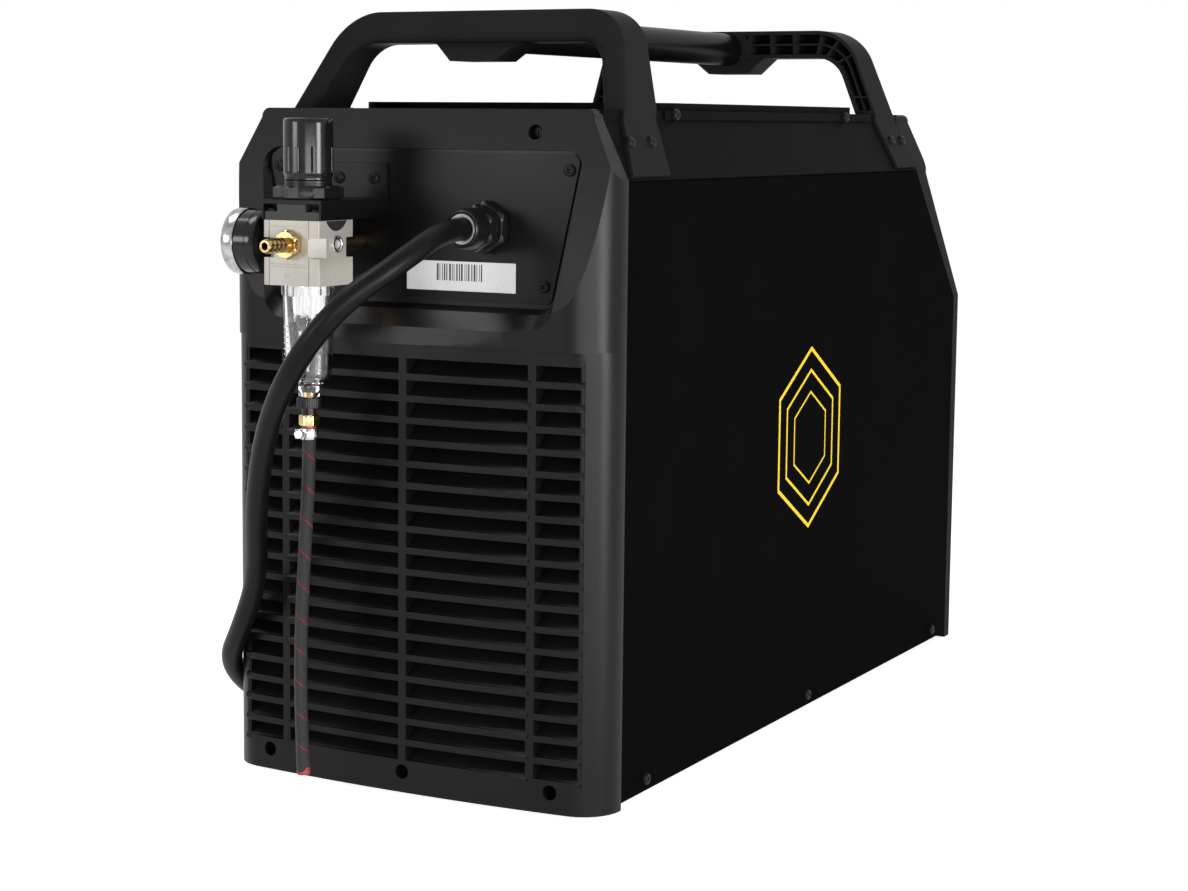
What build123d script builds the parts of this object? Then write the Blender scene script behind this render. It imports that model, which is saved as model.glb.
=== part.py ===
from build123d import *
import os
from math import atan2, cos, hypot, pi, radians, sin, sqrt, tan

os.makedirs("parts", exist_ok=True)

# Casing: +Y is the front, -Y the rear with the grille, +Z up, floor at z = 0, millimetres
WIDTH = 280.0
PANEL_LENGTH = 600.0
BODY_SHIFT = 38.5
PANEL_BASE_Z = 6.0
TOP_Z = 436.0
SEAM_Z = TOP_Z - 44.0
KNEE_Z = SEAM_Z - 104.0
SLANT_RUN = 96.0
SHOULDER_INSET = 18.0
SHOULDER_STRIP = 6.0
SEAM_GAP = 1.2
SHEET = 1.5
WALL = 3.0
BEZEL_BASE_Z = 1.5
FOOT_HEIGHT = 8.0
FOOT_R = 15.0
FOOT_INSET_X = 40.0
FOOT_INSET_Y = 50.0
PAN_FLANGE = 24.0

# Rear bezel and its grille
LOWER_DEPTH = 34.0
UPPER_DEPTH = 38.0
REAR_BOW = 8.0
REAR_CORNER = 26.0
BROW_CORNER = REAR_CORNER + UPPER_DEPTH - LOWER_DEPTH
CREASE_Z = TOP_Z - 146.5
BROW_LEAN = 0.19
TOP_EDGE_R = 5.0
SLOT_PITCH = 13.8
SLOT_HEIGHT = 9.6
GRILLE_BASE_Z = 22.7
GRILLE_HALF = WIDTH / 2 - 16.0
GRILLE_BAR_X = WIDTH * 0.325
GRILLE_BAR_W = 5.6
BAR_DEPTH = 14.0
BLADE_DEPTH = 12.0
BLADE_RISE = 10.0
BLADE_T = 2.2

# Recessed steel plate at the rear
POCKET_SET_BACK = 11.5
POCKET_GAP = 2.3
POCKET_FOOT = 3.0
POCKET_R = 10.0
POCKET_RINGS = ((0.0, 0.0, 0.0), (15.0, 6.8, 2.5), (28.0, 12.7, 16.9))
PLATE_T = 1.5
PLATE_TOP_Z = TOP_Z - 27.5
PLATE_BOTTOM_Z = PLATE_TOP_Z - 92.0
PLATE_HALF_TOP = WIDTH / 2 - 25.5
PLATE_HALF_BOTTOM = WIDTH / 2 - 46.0
PLATE_CORNER = 5.0
PLATE_LEDGE = 14.0
PLATE_SCREW_TOP = (PLATE_HALF_TOP - 8.0, PLATE_TOP_Z - 9.5)
PLATE_SCREW_BOTTOM = (PLATE_HALF_BOTTOM - 4.5, PLATE_BOTTOM_Z + 11.0)

# Front bezel
FRONT_LIP = 16.0
BROW_LIP = 26.0
FRONT_KNEE_Z = KNEE_Z + 2.0
FRONT_SEAM_Z = SEAM_Z
FRONT_EDGE_R = 6.0

# Top tray
TRAY_RISE = 5.0
TRAY_INSET = 6.0
TRAY_MARGIN = 14.0
TRAY_FLANGE = 22.0
LIP_DEPTH = 5.5

# Handle arches and grip
ARCH_TOP_Z = TOP_Z + 64.0
ARCH_BAR = 21.0
ARCH_LEG = 16.7
ARCH_LEG_LEAN = 0.344
ARCH_OUTER_R = 34.0
ARCH_INNER_R = 22.0
ARCH_WALL = 3.0
ARCH_EDGE_R = 4.0
ARCH_RIB = 1.6
ARCH_RIB_STEP = 19.0
ARCH_RIB_SET_BACK = 1.5
REAR_ARCH_FOOT = (2.0, 55.0)
REAR_ARCH_TOP = (61.0, 92.0)
FRONT_ARCH_FOOT = (1.0, 45.0)
FRONT_ARCH_TOP = (25.0, 59.0)
SKIRT_T = 2.2
SKIRT_MARGIN = 1.5
GRIP_R = 12.5
GRIP_WALL = 2.0
GRIP_Z = ARCH_TOP_Z - 14.0
GRIP_FIT = 0.2
SOCKET_WALL = 6.5
SOCKET_HALF = 33.0
SOCKET_FLOOR = 10.0

# Fasteners
SCREW_HEAD_R = 3.8
SCREW_HEAD_H = 2.4
SCREW_SHANK_R = 2.0
SCREW_LENGTH = 9.0
SCREW_CLEAR = 0.2
BOSS_R = 7.0
BOSS_BORE_R = 4.75
BOSS_SEAT = 6.0
SIDE_SCREW_Z = 14.0
SIDE_SCREW_INSET = 34.0
REAR_LIP_SCREW = 98.0
FRONT_LIP_SCREW = 113.0
BASE_BOSS_X = WIDTH / 2 - 35.0
BASE_BOSS_Z = 15.0
TOP_BOSS_X = WIDTH / 2 - 58.0
TOP_BOSS_Z = TOP_Z - 14.0
HANDLE_SCREW_Z = TOP_Z - 21.0
REAR_HANDLE_SCREWS = (18.0, 47.0)
FRONT_HANDLE_SCREWS = (14.0, 36.0)

# Cable gland and mains cable
GLAND_X = 50.0
GLAND_Z = PLATE_TOP_Z - 45.5
GLAND_THREAD_R = 12.3
GLAND_FLATS = 29.0
GLAND_HEX_H = 9.0
GLAND_DOME_H = 26.0
GLAND_DOME_R = 12.8
GLAND_FIT = 0.2
LOCKNUT_H = 6.0
CABLE_D = 14.0
PLUG_R = 31.0
PLUG_BODY_R = 25.0
PLUG_LENGTH = 132.0
PLUG_SLEEVE = 58.0
PLUG_WALL = 3.5
PIN_R = 3.0
PIN_CIRCLE = 15.0
PIN_LENGTH = 36.0
COIL_CENTRE = (-278.0, 362.0)
COIL_TAIL = 100.0
CABLE_SEAT = 6.0
COIL_OUTER_R = 90.0
COIL_PITCH = 14.8
COIL_LAYER_TURNS = 1.75

# Filter regulator
FILTER_X = -46.0
FILTER_REACH = 70.0
FILTER_W = 41.0
FILTER_D = 38.0
FILTER_BASE_Z = PLATE_TOP_Z - 81.5
FILTER_H = 40.0
FILTER_EDGE_R = 3.0
PORT_Z = FILTER_BASE_Z + 25.4
PORT_R = 6.5
PORT_DEPTH = 8.0
THREAD_FIT = 0.15
BONNET_H = 10.0
BRACKET_T = 2.5
BRACKET_SKIRT = 1.5
BRACKET_SKIRT_H = 12.0
BRACKET_FLANGE_H = 22.0
BRACKET_SCREW_X = (-59.0, -33.0)
BRACKET_SCREW_Z = PLATE_TOP_Z - 16.5
NECK_R = 13.0
NECK_FIT = 0.2
PANEL_NUT_FLATS = 38.0
PANEL_NUT_H = 8.5
COLLAR_R = 14.8
COLLAR_H = 3.0
KNOB_R = 15.5
KNOB_H = 38.0
KNOB_WALL = 2.5
KNOB_GAP = 0.4
SPINDLE_R = 5.0
RUNNING_FIT = 0.05
SPINDLE_SEAT = 7.0

# Pressure gauge, facing -X
GAUGE_R = 20.0
GAUGE_CASE_X = 7.0
GAUGE_CASE_L = 22.0
GAUGE_WALL = 2.0
GAUGE_CUP = 11.0
GAUGE_RING_R = 20.9
GAUGE_RING_L = 9.0
GAUGE_RING_LIP = 3.0
GAUGE_STEM_R = 5.0
LENS_T = 1.6
DIAL_T = 0.6
POINTER_PIN_R = 1.0
POINTER_T = 0.7
POINTER_REACH = 13.0

# Inlet barb, outlet nipple, plug and bowl
BARB_FLATS = 16.0
BARB_HEX_H = 7.0
BARB_R = 4.2
BARB_TIP = 21.0
BARB_RIDGE = 0.7
BARB_BORE_R = 2.5
NIPPLE_R = 6.0
PLUG_DISC_R = 5.5
BOWL_R = 16.5
BOWL_BOTTOM_R = 14.0
BOWL_H = 62.0
BOWL_WALL = 2.4
NUB_R = 6.5
NUB_H = 8.0
ELEMENT_R = 9.5
ELEMENT_H = 20.0
BAFFLE_R = 12.5
BAFFLE_T = 2.5
DRAIN_STEM_R = 4.0
COCK_R = 7.8
COCK_H = 7.0
COCK_GAP = 0.3
NIPPLE_FLATS = 11.0
NIPPLE_HEX_H = 7.0
NIPPLE_NECK = 4.0
HOSE_D = 8.4
CLAMP_H = 7.0
CLAMP_T = 1.2
CLAMP_FIT = 0.1
CLAMP_DROP = 1.5

# Inside
FAN_SIZE = 184.0
FAN_DEPTH = 42.0
FAN_REST = 4.0
FAN_OPENING_R = 86.0
FAN_TIP_R = 82.0
FAN_HUB_R = 35.0
FAN_BLADES = 7
FAN_SHAFT_R = 3.0
FAN_STATOR_H = 8.0
SINK_W = 130.0
SINK_LENGTH = 230.0
SINK_H = 92.0
SINK_BASE = 12.0
SINK_FINS = 12
SINK_FIN_T = 4.0
SINK_GAP = 20.0
MODULE_SIZE = (34.0, 92.0, 24.0)
BOARD_T = 2.0
CAPACITOR_R = 17.5
CAPACITOR_H = 52.0
TRANSFORMER_R = 54.0
TRANSFORMER_H = 70.0
CHOKE_R = 38.0
CHOKE_H = 44.0
RING_BORE = 0.42
RING_ROUND = 14.0
VALVE_W = 36.0
VALVE_D = 44.0
VALVE_H = 34.0
VALVE_COIL_R = 12.0
VALVE_COIL_H = 30.0

# Front controls
OVERLAY_W = 216.0
OVERLAY_H = 104.0
OVERLAY_T = 1.5
OVERLAY_R = 8.0
WINDOW_W = 92.0
WINDOW_H = 34.0
WINDOW_T = 1.2
WINDOW_UP = 24.0
ENCODER_R = 17.0
ENCODER_H = 16.0
ENCODER_AT = (62.0, -8.0)
ENCODER_SHAFT_R = 3.0
ENCODER_SHAFT = 14.0
BUTTON_R = 6.0
BUTTON_PROUD = 2.5
BUTTON_AT = ((-40.0, -20.0), (0.0, -20.0))
BUTTON_FLANGE = 1.6
BUTTON_FIT = 0.15
SWITCH_AT = (78.0, KNEE_Z - 50.0)
SWITCH_R = 22.0
SWITCH_PLATE_T = 1.5
SWITCH_H = 16.0
SWITCH_SHAFT_R = 4.0
SWITCH_SHAFT = 20.0
TORCH_AT = (-62.0, 120.0)
TORCH_R = 24.0
TORCH_BORE_R = 11.0
WORK_AT = (58.0, 120.0)
WORK_R = 20.0
WORK_BORE_R = 6.5
SOCKET_FLANGE_T = 3.0
SOCKET_COLLAR = 4.0
TORCH_PROUD = 24.0
WORK_PROUD = 15.0
SOCKET_BACK = 34.0
SOCKET_DEPTH = 24.0

# Derived places
HALF_W = WIDTH / 2
REAR_Y = BODY_SHIFT - PANEL_LENGTH / 2
FRONT_Y = BODY_SHIFT + PANEL_LENGTH / 2
SLANT_TOP_Y = FRONT_Y - SLANT_RUN
SHOULDER_X = HALF_W - SHOULDER_INSET
SHOULDER_LOW_Z = SEAM_Z + SEAM_GAP
SHOULDER_HIGH_Z = TOP_Z - SHOULDER_STRIP
FRONT_FACE_Y = FRONT_Y + FRONT_LIP
BROW_FACE_Y = SLANT_TOP_Y + BROW_LIP
PAN_TOP = FOOT_HEIGHT + SHEET
POCKET_Y = REAR_Y - POCKET_SET_BACK
PLATE_Y = POCKET_Y - PLATE_T
FILTER_Y = REAR_Y - FILTER_REACH
FILTER_FRONT_Y = FILTER_Y - FILTER_D / 2
FILTER_BACK_Y = FILTER_Y + FILTER_D / 2
FILTER_TOP_Z = FILTER_BASE_Z + FILTER_H
BRACKET_Z = FILTER_TOP_Z + BONNET_H
NUT_Z = BRACKET_Z + BRACKET_T
COLLAR_Z = NUT_Z + PANEL_NUT_H
KNOB_Z = COLLAR_Z + COLLAR_H + KNOB_GAP
GLAND_NUT_Y = PLATE_Y - GLAND_HEX_H
GLAND_EXIT_Y = GLAND_NUT_Y - GLAND_DOME_H
GAUGE_BACK_X = FILTER_X - FILTER_W / 2 - GAUGE_CASE_X
GAUGE_OPEN_X = GAUGE_BACK_X - GAUGE_CASE_L
DIAL_X = GAUGE_OPEN_X + GAUGE_CUP
BOWL_END_Z = FILTER_BASE_Z - BOWL_H
NUB_END_Z = BOWL_END_Z - NUB_H
COCK_TOP_Z = NUB_END_Z - COCK_GAP
NIPPLE_HEX_Z = COCK_TOP_Z - COCK_H - NIPPLE_NECK
HOSE_TOP_Z = NIPPLE_HEX_Z - NIPPLE_HEX_H
FAN_Y = REAR_Y + FAN_REST
FAN_Z = PAN_TOP + FAN_SIZE / 2
SINK_Y = FAN_Y + FAN_DEPTH + SINK_GAP + SINK_LENGTH / 2
SINK_TOP = PAN_TOP + SINK_H
MODULE_TOP = SINK_TOP + MODULE_SIZE[2]
BOARD_TOP = MODULE_TOP + BOARD_T
rear_foot = [REAR_Y + y for y in REAR_ARCH_FOOT]
rear_top = [REAR_Y + y for y in REAR_ARCH_TOP]
front_foot = [SLANT_TOP_Y - y for y in FRONT_ARCH_FOOT]
front_top = [SLANT_TOP_Y - y for y in FRONT_ARCH_TOP]
SHOULDER_RUN = (-SHOULDER_INSET, SHOULDER_HIGH_Z - SHOULDER_LOW_Z)
SHOULDER_LENGTH = hypot(*SHOULDER_RUN)
SHOULDER_NORMAL = (SHOULDER_RUN[1] / SHOULDER_LENGTH, -SHOULDER_RUN[0] / SHOULDER_LENGTH)


def save(piece, name):
    """Label a finished piece and write it."""
    piece.label = name
    export_step(piece, f"parts/{name}.step")


def plane_y(y):
    """Upright plane across the machine; its normal points to the rear."""
    return Plane.XZ.offset(-y)


def rear_face_y(x, depth):
    """Place of the bowed rear face at a distance from the centre plane."""
    radius = (HALF_W**2 + REAR_BOW**2) / (2 * REAR_BOW)
    return REAR_Y - depth + radius - sqrt(radius**2 - x**2)


def rear_plan(depth, z, corner, inset=0.0):
    """Plan of the rear bezel: straight sides, round corners and a bowed rear face."""
    half = HALF_W - inset
    back = REAR_Y - depth + inset
    edge = back + REAR_BOW
    with BuildSketch(Plane.XY.offset(z)) as plan:
        with BuildLine():
            Polyline((half, edge), (half, REAR_Y), (-half, REAR_Y), (-half, edge))
            ThreePointArc((-half, edge), (0, back), (half, edge))
        make_face()
        fillet(plan.vertices().group_by(Axis.Y)[0], corner - inset)
    return plan.sketch


def casing_outline(y, inset=0.0):
    """Rear view of the casing, with its sloped shoulders."""
    half = HALF_W - inset
    shoulder = SHOULDER_X - inset
    with BuildSketch(plane_y(y)) as outline:
        with BuildLine():
            Polyline(
                (-half, 0),
                (half, 0),
                (half, SHOULDER_LOW_Z),
                (shoulder, SHOULDER_HIGH_Z),
                (shoulder, TOP_Z - inset),
                (-shoulder, TOP_Z - inset),
                (-shoulder, SHOULDER_HIGH_Z),
                (-half, SHOULDER_LOW_Z),
                close=True,
            )
        make_face()
        fillet(outline.vertices().group_by(Axis.Y)[-1], TOP_EDGE_R - inset)
    return outline.sketch


def trapezoid(y, half_top, half_bottom, top, bottom, corner):
    """Upright four-sided face with round corners."""
    with BuildSketch(plane_y(y)) as face:
        Polygon(
            (-half_bottom, bottom), (half_bottom, bottom), (half_top, top), (-half_top, top), align=None
        )
        fillet(face.vertices(), corner)
    return face.sketch


def plate_half(z):
    """Half width of the rear plate at a height."""
    share = (z - PLATE_BOTTOM_Z) / (PLATE_TOP_Z - PLATE_BOTTOM_Z)
    return PLATE_HALF_BOTTOM + share * (PLATE_HALF_TOP - PLATE_HALF_BOTTOM)


def front_profile(inset=0.0):
    """Side view of the front bezel: upright base, slanted panel and brow."""
    bend = tan(atan2(FRONT_FACE_Y - BROW_FACE_Y, FRONT_SEAM_Z - FRONT_KNEE_Z) / 2) * inset
    with BuildSketch(Plane.YZ) as profile:
        Polygon(
            (FRONT_Y, BEZEL_BASE_Z + inset),
            (FRONT_FACE_Y - inset, BEZEL_BASE_Z + inset),
            (FRONT_FACE_Y - inset, FRONT_KNEE_Z - bend),
            (BROW_FACE_Y - inset, FRONT_SEAM_Z - bend),
            (BROW_FACE_Y - inset, TOP_Z - inset),
            (SLANT_TOP_Y, TOP_Z - inset),
            (SLANT_TOP_Y, SEAM_Z),
            (FRONT_Y, KNEE_Z),
            align=None,
        )
    return profile.sketch


def shoulder_point(z, proud=0.0):
    """Point of the right shoulder's outer face at a height, moved out along its normal."""
    share = (z - SHOULDER_LOW_Z) / (SHOULDER_HIGH_Z - SHOULDER_LOW_Z)
    x = HALF_W - share * SHOULDER_INSET
    return (x + proud * SHOULDER_NORMAL[0], z + proud * SHOULDER_NORMAL[1])


def handle_screw_planes():
    """Seats of the handle screws on the two skirts of each arch, normals outwards."""
    x, z = shoulder_point(HANDLE_SCREW_Z, SKIRT_T)
    return [
        Plane(origin=(side * x, y, z), z_dir=(side * SHOULDER_NORMAL[0], 0, SHOULDER_NORMAL[1]))
        for side in (1, -1)
        for y in [REAR_Y + y for y in REAR_HANDLE_SCREWS] + [SLANT_TOP_Y - y for y in FRONT_HANDLE_SCREWS]
    ]


def side_screw_planes():
    """Seats of the screws along the foot of both side panels."""
    return [
        Plane(origin=(side * HALF_W, y, SIDE_SCREW_Z), z_dir=(side, 0, 0))
        for side in (1, -1)
        for y in (REAR_Y + SIDE_SCREW_INSET, BODY_SHIFT, FRONT_Y - SIDE_SCREW_INSET)
    ]


def lip_screw_planes():
    """Seats of the screws in the lips of the top tray."""
    return [
        Plane(origin=(side * (SHOULDER_X + SHEET), y, TOP_Z - LIP_DEPTH / 2), z_dir=(side, 0, 0))
        for side in (1, -1)
        for y in (REAR_Y + REAR_LIP_SCREW, SLANT_TOP_Y - FRONT_LIP_SCREW)
    ]


def boss_places():
    """Cross positions of the bezel screws, as (x, z)."""
    base = [(x, BASE_BOSS_Z) for x in (-BASE_BOSS_X, 0, BASE_BOSS_X)]
    return base + [(x, TOP_BOSS_Z) for x in (-TOP_BOSS_X, TOP_BOSS_X)]


def bezel_screw_planes():
    """Seats of the bezel screws, deep in their bosses at the rear and at the front."""
    rear = [Plane(origin=(x, REAR_Y - BOSS_SEAT, z), z_dir=(0, -1, 0)) for x, z in boss_places()]
    front = [
        Plane(origin=(x, (SLANT_TOP_Y if z > SEAM_Z else FRONT_Y) + BOSS_SEAT, z), z_dir=(0, 1, 0))
        for x, z in boss_places()
    ]
    return rear + front


def plate_screw_places():
    """Cross positions of the four screws of the rear plate."""
    return [(side * x, z) for side in (1, -1) for x, z in (PLATE_SCREW_TOP, PLATE_SCREW_BOTTOM)]


def plate_screw_planes():
    """Seats of the rear plate's own screws and of the two bracket screws on its flange."""
    own = [Plane(origin=(x, PLATE_Y, z), z_dir=(0, -1, 0)) for x, z in plate_screw_places()]
    bracket = [
        Plane(origin=(x, PLATE_Y - BRACKET_T, BRACKET_SCREW_Z), z_dir=(0, -1, 0)) for x in BRACKET_SCREW_X
    ]
    return own + bracket


def places(planes):
    """Locations of a list of planes."""
    return [Location(plane) for plane in planes]


def screw_group(planes, length=SCREW_LENGTH):
    """Round-headed screws standing on a list of planes, one solid each."""
    with BuildPart() as screw:
        Cylinder(SCREW_HEAD_R, SCREW_HEAD_H, align=(Align.CENTER, Align.CENTER, Align.MIN))
        fillet(screw.edges().group_by(Axis.Z)[-1], SCREW_HEAD_H * 0.4)
        Cylinder(SCREW_SHANK_R, length, align=(Align.CENTER, Align.CENTER, Align.MAX))
    with BuildPart() as group:
        with Locations(*places(planes)):
            add(screw.part)
    return group.part


def cord_radii(points):
    """Bend radius at each inner point of a cord: as large as its two runs allow."""
    radii = []
    for before, here, after in zip(points, points[1:], points[2:]):
        run_in = Vector(*here) - Vector(*before)
        run_out = Vector(*after) - Vector(*here)
        turn = radians(run_in.get_angle(run_out))
        radii.append(0.45 * min(run_in.length, run_out.length) / tan(turn / 2))
    return radii


def cord_tube(points, diameter, name):
    """Tube along straight runs joined by tangent arcs; prints its radii and checks its volume."""
    radii = cord_radii(points)
    with BuildPart() as tube:
        with BuildLine() as route:
            FilletPolyline(*points, radius=radii)
        with BuildSketch(Plane(origin=points[0], z_dir=Vector(*points[1]) - Vector(*points[0]))):
            Circle(diameter / 2)
        sweep()
    length = route.wire().length
    share = tube.part.volume / (pi * diameter**2 / 4 * length)
    print(f"{name}: length {length:.0f}, volume over section times length {share:.4f}")
    print(f"{name}: radii in diameters", [round(radius / diameter, 1) for radius in radii])
    return tube.part


def biarc(start, start_dir, end, end_dir):
    """Two tangent arcs between two points with given directions."""
    span = end - start
    both = start_dir + end_dir
    turn = 2 * (1 - start_dir.dot(end_dir))
    reach = (sqrt(span.dot(both) ** 2 + turn * span.dot(span)) - span.dot(both)) / turn
    middle = (start + start_dir * reach + end - end_dir * reach) * 0.5
    first = TangentArc(start, middle, tangent=start_dir)
    TangentArc(middle, end, tangent=first % 1)


# Base pan and its feet
with BuildPart() as base_pan:
    with Locations((0, BODY_SHIFT, FOOT_HEIGHT)):
        Box(WIDTH - 2 * SHEET, PANEL_LENGTH, PAN_FLANGE, align=(Align.CENTER, Align.CENTER, Align.MIN))
    with Locations((0, BODY_SHIFT, PAN_TOP)):
        Box(
            WIDTH - 4 * SHEET,
            PANEL_LENGTH - 2 * SHEET,
            PAN_FLANGE,
            align=(Align.CENTER, Align.CENTER, Align.MIN),
            mode=Mode.SUBTRACT,
        )
    with Locations(*places(side_screw_planes() + bezel_screw_planes())):
        Cylinder(SCREW_SHANK_R + SCREW_CLEAR, 4 * SCREW_LENGTH, mode=Mode.SUBTRACT)
save(base_pan.part, "base_pan")

with BuildPart() as rubber_feet:
    with Locations((0, BODY_SHIFT, 0)):
        with GridLocations(WIDTH - 2 * FOOT_INSET_X, PANEL_LENGTH - 2 * FOOT_INSET_Y, 2, 2):
            Cone(FOOT_R * 0.88, FOOT_R, FOOT_HEIGHT, align=(Align.CENTER, Align.CENTER, Align.MIN))
save(rubber_feet.part, "rubber_feet")

# Side panels
for side, name in ((-1, "left_side_panel"), (1, "right_side_panel")):
    with BuildPart() as side_panel:
        with BuildSketch(Plane.YZ.offset(side * HALF_W)):
            Polygon(
                (REAR_Y, PANEL_BASE_Z),
                (FRONT_Y, PANEL_BASE_Z),
                (FRONT_Y, KNEE_Z),
                (SLANT_TOP_Y, SEAM_Z),
                (REAR_Y, SEAM_Z),
                align=None,
            )
        extrude(amount=-side * SHEET)
        with Locations(*places(side_screw_planes())):
            Cylinder(SCREW_SHANK_R + SCREW_CLEAR, 4 * SCREW_LENGTH, mode=Mode.SUBTRACT)
    save(side_panel.part, name)

# Shoulder panels: a tab behind the side panel, a joggle, the slope and an upright strip
for side, name in ((-1, "left_shoulder"), (1, "right_shoulder")):
    inner_low = shoulder_point(SHOULDER_LOW_Z, -SHEET)
    with BuildPart() as shoulder:
        with BuildSketch(plane_y(REAR_Y)):
            Polygon(
                (side * (HALF_W - 2 * SHEET), SEAM_Z - PAN_FLANGE / 2),
                (side * (HALF_W - SHEET), SEAM_Z - PAN_FLANGE / 2),
                (side * (HALF_W - SHEET), SEAM_Z),
                (side * HALF_W, SHOULDER_LOW_Z),
                (side * SHOULDER_X, SHOULDER_HIGH_Z),
                (side * SHOULDER_X, TOP_Z - SHEET),
                (side * (SHOULDER_X - SHEET), TOP_Z - SHEET),
                (side * (SHOULDER_X - SHEET), SHOULDER_HIGH_Z - SHEET / 2),
                (side * (HALF_W - 2 * SHEET), SHOULDER_LOW_Z - SHEET / 2),
                align=None,
            )
        extrude(amount=REAR_Y - SLANT_TOP_Y)
        with Locations(*places(handle_screw_planes() + lip_screw_planes())):
            Cylinder(SCREW_SHANK_R + SCREW_CLEAR, 4 * SCREW_LENGTH, mode=Mode.SUBTRACT)
    save(shoulder.part, name)

# Top tray: flat sheet, raised field, end flanges and the lips that carry its screws
with BuildPart() as top_tray:
    lip_ends = (rear_foot[1] + TRAY_MARGIN * 2, front_foot[1] - TRAY_MARGIN)
    field_ends = (lip_ends[0] + TRAY_MARGIN, lip_ends[1] - TRAY_MARGIN)
    with BuildSketch(Plane.XY.offset(TOP_Z - SHEET)):
        with Locations((0, (REAR_Y + SLANT_TOP_Y) / 2)):
            Rectangle(2 * SHOULDER_X, SLANT_TOP_Y - REAR_Y)
        with Locations((0, sum(lip_ends) / 2)):
            Rectangle(2 * (SHOULDER_X + SHEET), lip_ends[1] - lip_ends[0])
    extrude(amount=SHEET)
    with BuildSketch(Plane.XY.offset(TOP_Z)):
        with Locations((0, sum(field_ends) / 2)):
            RectangleRounded(2 * (SHOULDER_X - TRAY_INSET), field_ends[1] - field_ends[0], TRAY_MARGIN)
    extrude(amount=TRAY_RISE)
    with BuildSketch(Plane.XY.offset(TOP_Z - SHEET)):
        with Locations((0, sum(field_ends) / 2)):
            RectangleRounded(
                2 * (SHOULDER_X - TRAY_INSET - SHEET),
                field_ends[1] - field_ends[0] - 2 * SHEET,
                TRAY_MARGIN - SHEET,
            )
    extrude(amount=TRAY_RISE, mode=Mode.SUBTRACT)
    for side in (-1, 1):
        with Locations((side * (SHOULDER_X + SHEET / 2), sum(lip_ends) / 2, TOP_Z)):
            Box(SHEET, lip_ends[1] - lip_ends[0], LIP_DEPTH, align=(Align.CENTER, Align.CENTER, Align.MAX))
    for end_y in (REAR_Y + SHEET / 2, SLANT_TOP_Y - SHEET / 2):
        with Locations((0, end_y, TOP_Z)):
            Box(
                2 * (SHOULDER_X - 2 * SHEET),
                SHEET,
                TRAY_FLANGE,
                align=(Align.CENTER, Align.CENTER, Align.MAX),
            )
    with Locations(*places(lip_screw_planes() + bezel_screw_planes())):
        Cylinder(SCREW_SHANK_R + SCREW_CLEAR, 4 * SCREW_LENGTH, mode=Mode.SUBTRACT)
save(top_tray.part, "top_tray")

# Rear bezel: grille below, leaning brow above, pocket for the steel plate
pocket_bottom = PLATE_BOTTOM_Z - POCKET_FOOT
pocket_top = PLATE_TOP_Z + POCKET_GAP
slot_rows = int((CREASE_Z - GRILLE_BASE_Z - SLOT_HEIGHT) / SLOT_PITCH) + 1
slot_zs = [GRILLE_BASE_Z + SLOT_HEIGHT / 2 + row * SLOT_PITCH for row in range(slot_rows)]
column_ends = [
    (-GRILLE_HALF, -GRILLE_BAR_X - GRILLE_BAR_W / 2),
    (-GRILLE_BAR_X + GRILLE_BAR_W / 2, -GRILLE_BAR_W / 2),
    (GRILLE_BAR_W / 2, GRILLE_BAR_X - GRILLE_BAR_W / 2),
    (GRILLE_BAR_X + GRILLE_BAR_W / 2, GRILLE_HALF),
]
grille_low = GRILLE_BASE_Z
grille_high = slot_zs[-1] + SLOT_HEIGHT / 2
brow_back = REAR_Y - UPPER_DEPTH
brow_top_back = brow_back + BROW_LEAN * (TOP_Z - CREASE_Z)


def pocket_ring(depth, flare, drop):
    """Outline of the rear pocket at a distance outside its floor; its foot drops to a sloped lip."""
    foot = pocket_bottom - drop
    return trapezoid(
        POCKET_Y - depth,
        plate_half(pocket_top) + POCKET_GAP + flare,
        plate_half(foot) + POCKET_GAP + flare,
        pocket_top + flare / 5,
        foot,
        POCKET_R + flare / 2,
    )


with BuildPart() as bezel_hollow:
    extrude(
        rear_plan(LOWER_DEPTH, BEZEL_BASE_Z + WALL, REAR_CORNER, WALL),
        amount=CREASE_Z - BEZEL_BASE_Z - WALL,
    )
    with Locations((0, POCKET_Y + WALL, BEZEL_BASE_Z + WALL)):
        Box(
            WIDTH - 2 * WALL,
            POCKET_SET_BACK - WALL,
            TOP_Z - WALL - BEZEL_BASE_Z - WALL,
            align=(Align.CENTER, Align.MIN, Align.MIN),
        )
    extrude(casing_outline(REAR_Y, WALL), amount=2 * UPPER_DEPTH, mode=Mode.INTERSECT)

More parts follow.
